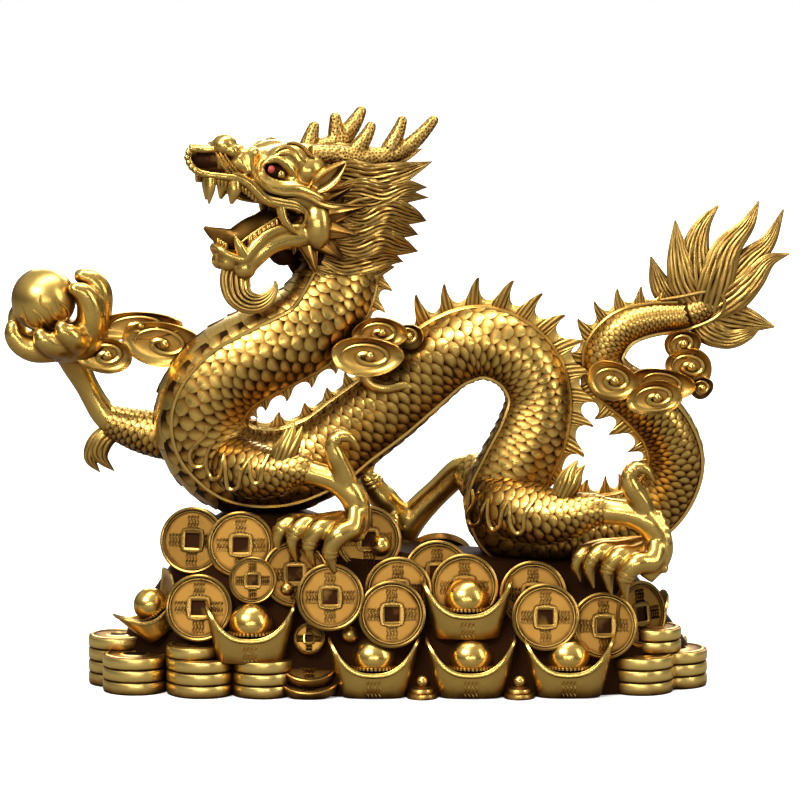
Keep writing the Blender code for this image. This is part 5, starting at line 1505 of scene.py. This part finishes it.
def coinShape(radius, seed, marked=True):
    # the front of a coin looks to -Y. Stations run from the back, round the rim, to the bottom of the hole
    k = radius / coinLook["radius"]
    half, thick = coinLook["hole"] / 2 * k, coinLook["thick"] / 2
    turns = np.linspace(0, 2 * math.pi, coinLook["sides"], endpoint=False)
    square = 1 / np.maximum(np.abs(np.cos(turns)), np.abs(np.sin(turns)))
    # share from the square hole to the rim, depth, and patina and painted shade in the grooves and the hole
    stations = [
        (-1, thick, 0.6), (1.0, thick, 0.6), (1.0, -0.6 * thick, 0.2), (0.985, -thick, 0),
        (0.93, -thick - 0.35, 0), (0.88, -thick - 0.2, 0), (0.865, -thick + 0.5, 0.9),
        (0.845, -thick + 0.55, 0.9), (0.825, -thick, 0.1), (0.79, -thick, 0.1), (0.775, -thick + 0.7, 0.9),
        (0.6, -thick + 0.7, 0.42), (0.3, -thick + 0.7, 0.42), (0.13, -thick + 0.7, 0.9),
        (0.11, -thick, 0.1), (0.03, -thick - 0.1, 0), (0, -thick + 0.2, 0.4), (0, -thick + 1.6, 1),
        (-0.999, -thick + 1.6, 1),
    ]
    rings = []
    for share, depth, _ in stations:
        if share < 0:
            reach = np.full_like(turns, 0.05)
        else:
            mix = share ** 0.8 if share < 0.3 else share
            reach = half * square * (1 - mix) + radius * mix
            blend = smoothStep(0.1, 0.5, share)
            reach = reach * (1 - blend) + (half * 1.12 * (1 - share) + radius * share) * blend
        rings.append(np.stack([reach * np.cos(turns), np.full_like(turns, depth), reach * np.sin(turns)],
                              -1))
    shapes = [ringSheet(rings, [row[2] for row in stations])]
    for corner in range(4 if marked else 0):
        a = corner * math.pi / 2
        out = radius * 0.55
        for mark in markShapes(out * math.cos(a), out * math.sin(a), 7.0 * k, seed * 4 + corner):
            mark["points"][:, 1] += -thick + 0.55
            shapes.append(mark)
    return merged(shapes)


def stackShapes(across, depth, count, share):
    radius, thick = stackLook["radius"] * share, stackLook["thick"]
    profile, dirt = [(0, 0.1), (0, radius - 0.4)], [1, 1]
    for k in range(count):
        for z, r, soil_and_shade in stackLook["edge"]:
            profile.append(((k + z) * thick, radius + r))
            dirt.append(soil_and_shade)
    top = count * thick
    for z, r, soil_and_shade in stackLook["top"]:
        profile.append((top + z, max(radius + r, 0.1)))
        dirt.append(soil_and_shade)
    return [moved(turned(profile, stackLook["sides"], dirt), np.eye(3), (across, depth, 0))]


def ingotShape(share, seed):
    long, deep, high = (ingotLook[word] * share for word in ("long", "deep", "high"))
    turns = np.linspace(0, 2 * math.pi, ingotLook["sides"], endpoint=False)
    ends = np.abs(np.cos(turns)) ** ingotLook["endPower"]
    wide, near = (np.sign(v) * np.abs(v) ** ingotLook["square"] for v in (np.cos(turns), np.sin(turns)))
    # shares of the length and depth, height, how much the ends rise, and patina and painted shade
    stations = [
        (0.02, 0.02, 0, 0, 0.9), (0.68, 0.7, 0, 0, 0.9), (0.715, 0.75, 0.02, 0.01, 0.3),
        (0.8, 0.86, 0.16, 0.14, 0), (0.9, 0.94, 0.31, 0.34, 0), (0.95, 0.965, 0.39, 0.47, 0.1),
        (0.957, 0.97, 0.405, 0.49, 0.8), (0.985, 1.0, 0.42, 0.5, 0), (1.0, 1.0, 0.46, 0.56, 0),
        (0.97, 0.96, 0.49, 0.58, 0), (0.9, 0.88, 0.48, 0.5, 0), (0.84, 0.8, 0.43, 0.42, 0.4),
        (0.66, 0.7, 0.40, 0.2, 0.2), (0.5, 0.62, 0.38, 0.04, 0.6), (0.47, 0.6, 0.3, 0, 1),
        (0.02, 0.02, 0.3, 0, 1),
    ]
    rings = []
    for a, b, low, rise, _ in stations:
        up = high * (low + ingotLook["rise"] * rise * ends)
        rings.append(np.stack([long * a * wide, deep * b * near, up], -1))
    shapes = [ringSheet(rings, [row[4] for row in stations])]
    reach = ingotLook["dome"] * share
    shapes.append(eggOf((0, 0, 0.69 * high), (reach, 0.9 * reach, 0.4 * high), sides=28))
    for k in range(ingotLook["beads"]):
        a = 2 * math.pi * k / ingotLook["beads"]
        at = (reach * 0.99 * math.cos(a), 0.9 * reach * 0.99 * math.sin(a), 0.55 * high)
        shapes.append(eggOf(at, [1.15 * share] * 3, sides=6))
    slope = turnAbout("X", ingotLook["markSlope"])
    for mark in markShapes(0, 0, 8.5 * share, 900 + seed):
        shapes.append(moved(mark, slope, (0, -0.855 * deep, 0.2 * high)))
    return merged(shapes)


def heapShapes():
    rings = []
    for across, half, high in smoothRows([(a, 0, 0, h, z) for a, h, z in mound], 60)[:, [0, 3, 4]]:
        near = [(-half, 0), (-half, 8), (-0.8 * half, 0.68 * high), (-0.4 * half, high)]
        outline = near + [(-y, z) for y, z in near[::-1]]
        rings.append([(across, y, max(z, 0)) for y, z in outline])
    # the far side is plainer and less dark; the near side is darkened as painted shade in the gaps between
    # the coins
    soil_and_shade = np.tile([1, 1, 1, 1, 0.7, 0.35, 0.3, 0.4], (len(rings), 1))
    return [sheetOf(np.array(rings), dirt=soil_and_shade)]


def coinShapes():
    shapes = []
    for i, (across, up, depth, turn, lean, small) in enumerate(coins):
        radius = coinLook["small"] if small else coinLook["radius"]
        axes = turnAbout("Z", turn) @ turnAbout("X", -lean)
        shapes.append(moved(coinShape(radius, i), axes, drawn((across, up, depth))))
    for i, (across, height, lean) in enumerate(backCoins):
        sections = np.array(mound, float).T
        half, top = (np.interp(across, sections[0], values) for values in sections[1:])
        deep = half * np.interp(height, (8, 0.68 * top, top), (1.0, 0.8, 0.4))
        axes = turnAbout("Z", 180) @ turnAbout("X", -lean)
        shapes.append(moved(coinShape(coinLook["radius"], 30 + i, False), axes, (across, deep + 1, height)))
    for i, (across, up, depth, lean, share) in enumerate(leaningCoins):
        axes = turnAbout("X", -(90 - lean))
        shapes.append(moved(coinShape(stackLook["radius"] * share, 50 + i), axes,
                            drawn((across, up, depth))))
    return shapes


def smallShapes():
    shapes = [eggOf(drawn(row[:3]), [row[3]] * 3, sides=24) for row in beads]
    for across, depth in knobs:
        knob = turned(knobLook["profile"], knobLook["sides"], knobLook["dirt"])
        shapes.append(moved(knob, np.eye(3), (across, depth, 0)))
        shapes.append(eggOf((across, depth, knobLook["ballAt"]), knobLook["ball"], sides=18))
    return shapes


newPiece("heap_core", heapShapes(), gapShadeBrass)
newPiece("coins", coinShapes(), coinBrass)
newPiece("coin_stacks", [shape for row in stacks + backStacks for shape in stackShapes(*row)], brightenedStackBrass)
ingotParts = []
for i, (across, up, depth, turn, roll, share) in enumerate(ingots):
    spot = drawn((across, up, depth))
    spot[2] = max(spot[2], 0)
    ingotParts.append(moved(ingotShape(share, i), turnAbout("Z", turn) @ turnAbout("Y", roll), spot))
newPiece("ingots", ingotParts + smallShapes(), smoothBrass)
print("heap built")


# The pearl, with raised flame lines round its lower half
flames = {
    "half": 0.85,
    # across and up from the middle of the ball, in shares of its radius
    "lines": [
        [(-0.62, -0.12), (-0.56, -0.4), (-0.47, -0.66), (-0.28, -0.82), (-0.08, -0.84), (0.0, -0.68),
         (-0.1, -0.46), (-0.28, -0.2)],
        [(-0.28, -0.2), (-0.06, -0.38), (0.1, -0.62), (0.22, -0.82), (0.36, -0.86), (0.48, -0.76)],
        [(-0.04, 0.28), (-0.02, 0.0), (0.2, -0.16), (0.32, -0.38), (0.5, -0.58), (0.7, -0.58), (0.8, -0.42),
         (0.74, -0.18), (0.56, 0.0), (0.42, 0.22)],
        [(0.42, 0.22), (0.5, -0.06), (0.64, -0.32)],
    ],
}


def pearlShapes():
    middle = drawn(drawing["pearlAt"])
    shapes = [eggOf(middle, [pearlRadius - 0.05] * 3, sides=64)]
    for side in (-1, 1):
        for rows in flames["lines"]:
            path = smoothRows([(a, b, 0) for a, b in rows], 40)[:, :2] * 0.98
            away = np.sqrt(np.clip(1 - (path**2).sum(1), 0.02, 1))
            line = np.stack([path[:, 0], side * away, path[:, 1]], -1) * (pearlRadius + 0.1)
            half = tapered(flames["half"], len(line), 0.06)
            shapes.append(barOf(tubeOf(np.column_stack([middle + line, half]), 40), 8))
    return shapes


newPiece("pearl_ball", pearlShapes(), pearlBrass, node="pearl")
print("pearl built")


# Floor, light and camera
studio = {
    "floor": 9.0, "paper": 0.9, "paperInBrass": 0.16, "lift": 0.3,
    # power, size, place
    "lights": {
        "key softbox": (36, (1.0, 0.7), (-0.9, -1.5, 1.5)),
        "top softbox": (24, (1.8, 0.5), (0.1, -0.1, 1.6)),
        "side softbox": (9, (0.35, 1.3), (1.7, -0.9, 0.9)),
        "front strip": (8, (1.6, 0.12), (0.0, -2.2, 0.45)),
        "back softbox": (22, (1.8, 0.8), (0.2, 1.8, 1.2)),
    },
    # the room as the brass sees it: near the floor, at eye height, overhead
    "room": (0.06, 0.12, 0.5), "paperRoom": 1.0,
}


def floorMaterial():
    # the camera sees pale paper; the brass sees the darker floor of a studio in it
    material, tree, shader = newMaterial("pale floor")
    path = addNode(tree, "ShaderNodeLightPath")
    tone = addNode(tree, "ShaderNodeMapRange", inputs={
        "Value": path.outputs["Is Camera Ray"], "To Min": studio["paperInBrass"],
        "To Max": studio["paper"]})
    tree.links.new(tone.outputs["Result"], shader.inputs["Base Color"])
    # lifted a little for the camera, and wholly far away, where the lamps do not reach
    place = addNode(tree, "ShaderNodeTexCoord")
    away = addNode(tree, "ShaderNodeVectorMath", {"operation": "LENGTH"}, {0: place.outputs["Object"]})
    lift = addNode(tree, "ShaderNodeMapRange", {"interpolation_type": "SMOOTHSTEP"}, {
        "Value": away.outputs["Value"], "From Min": 0.3, "From Max": 1.6,
        "To Min": studio["lift"], "To Max": 1.0})
    seen = addMath(tree, "MULTIPLY", lift.outputs["Result"], path.outputs["Is Camera Ray"])
    shader.inputs["Emission Color"].default_value = (1, 1, 1, 1)
    tree.links.new(seen, shader.inputs["Emission Strength"])
    shader.inputs["Roughness"].default_value = 0.9
    return material


bpy.ops.mesh.primitive_plane_add(size=studio["floor"], location=(0, 0, -0.0002))
floor = bpy.context.object
floor.name = "pale_floor"
floor.data.materials.append(floorMaterial())


def addLight(name, power, size, place):
    light = bpy.data.lights.new(name, "AREA")
    light.energy = power
    light.shape = "RECTANGLE"
    light.size, light.size_y = size
    lamp = bpy.data.objects.new(name, light)
    lamp.location = place
    lamp.rotation_euler = (Vector((0, 0, 0.12)) - Vector(place)).to_track_quat("-Z", "Y").to_euler()
    bpy.context.scene.collection.objects.link(lamp)


for name, row in studio["lights"].items():
    addLight(name, *row)


def makeWorld():
    world = bpy.data.worlds.new("studio")
    bpy.context.scene.world = world
    world.use_nodes = True
    tree = world.node_tree
    shader = tree.nodes["Background"]
    place = addNode(tree, "ShaderNodeTexCoord")
    upward = addNode(tree, "ShaderNodeSeparateXYZ", inputs={"Vector": place.outputs["Generated"]})
    height = addNode(tree, "ShaderNodeMath", {"operation": "MULTIPLY_ADD"},
                     {0: upward.outputs["Z"], 1: 0.5, 2: 0.5})
    ramp = addNode(tree, "ShaderNodeValToRGB", inputs={"Fac": height.outputs[0]})
    for i, (at, tone) in enumerate(zip((0.45, 0.56, 0.85), studio["room"])):
        element = ramp.color_ramp.elements[i] if i < 2 else ramp.color_ramp.elements.new(at)
        element.position = at
        element.color = (tone, tone, tone, 1)
    path = addNode(tree, "ShaderNodeLightPath")
    paper = studio["paperRoom"]
    mix = addNode(tree, "ShaderNodeMix", {"data_type": "RGBA"}, {"Factor": path.outputs["Is Camera Ray"]})
    tree.links.new(ramp.outputs["Color"], mix.inputs[6])
    mix.inputs[7].default_value = (paper, paper, paper, 1)
    tree.links.new(mix.outputs[2], shader.inputs["Color"])


makeWorld()

view = {"distance": 3.0, "width": 0.4, "middle": (0.0, 148.5), "sensor": 36.0}
aim = drawn((view["middle"][0], view["middle"][1], 0)) * drawing["unit"] + shift
camera = bpy.data.cameras.new("camera")
camera.sensor_width = view["sensor"]
camera.lens = view["sensor"] * view["distance"] / view["width"]
camera.clip_end = 50
eye = bpy.data.objects.new("camera", camera)
eye.location = Vector(aim) + view["distance"] * Vector((0, -tiltCos, tiltSin))
eye.rotation_euler = (math.pi / 2 - drawing["tilt"], 0, 0)
bpy.context.scene.collection.objects.link(eye)
bpy.context.scene.camera = eye
bpy.context.scene.view_settings.view_transform = "Standard"
print("studio built")
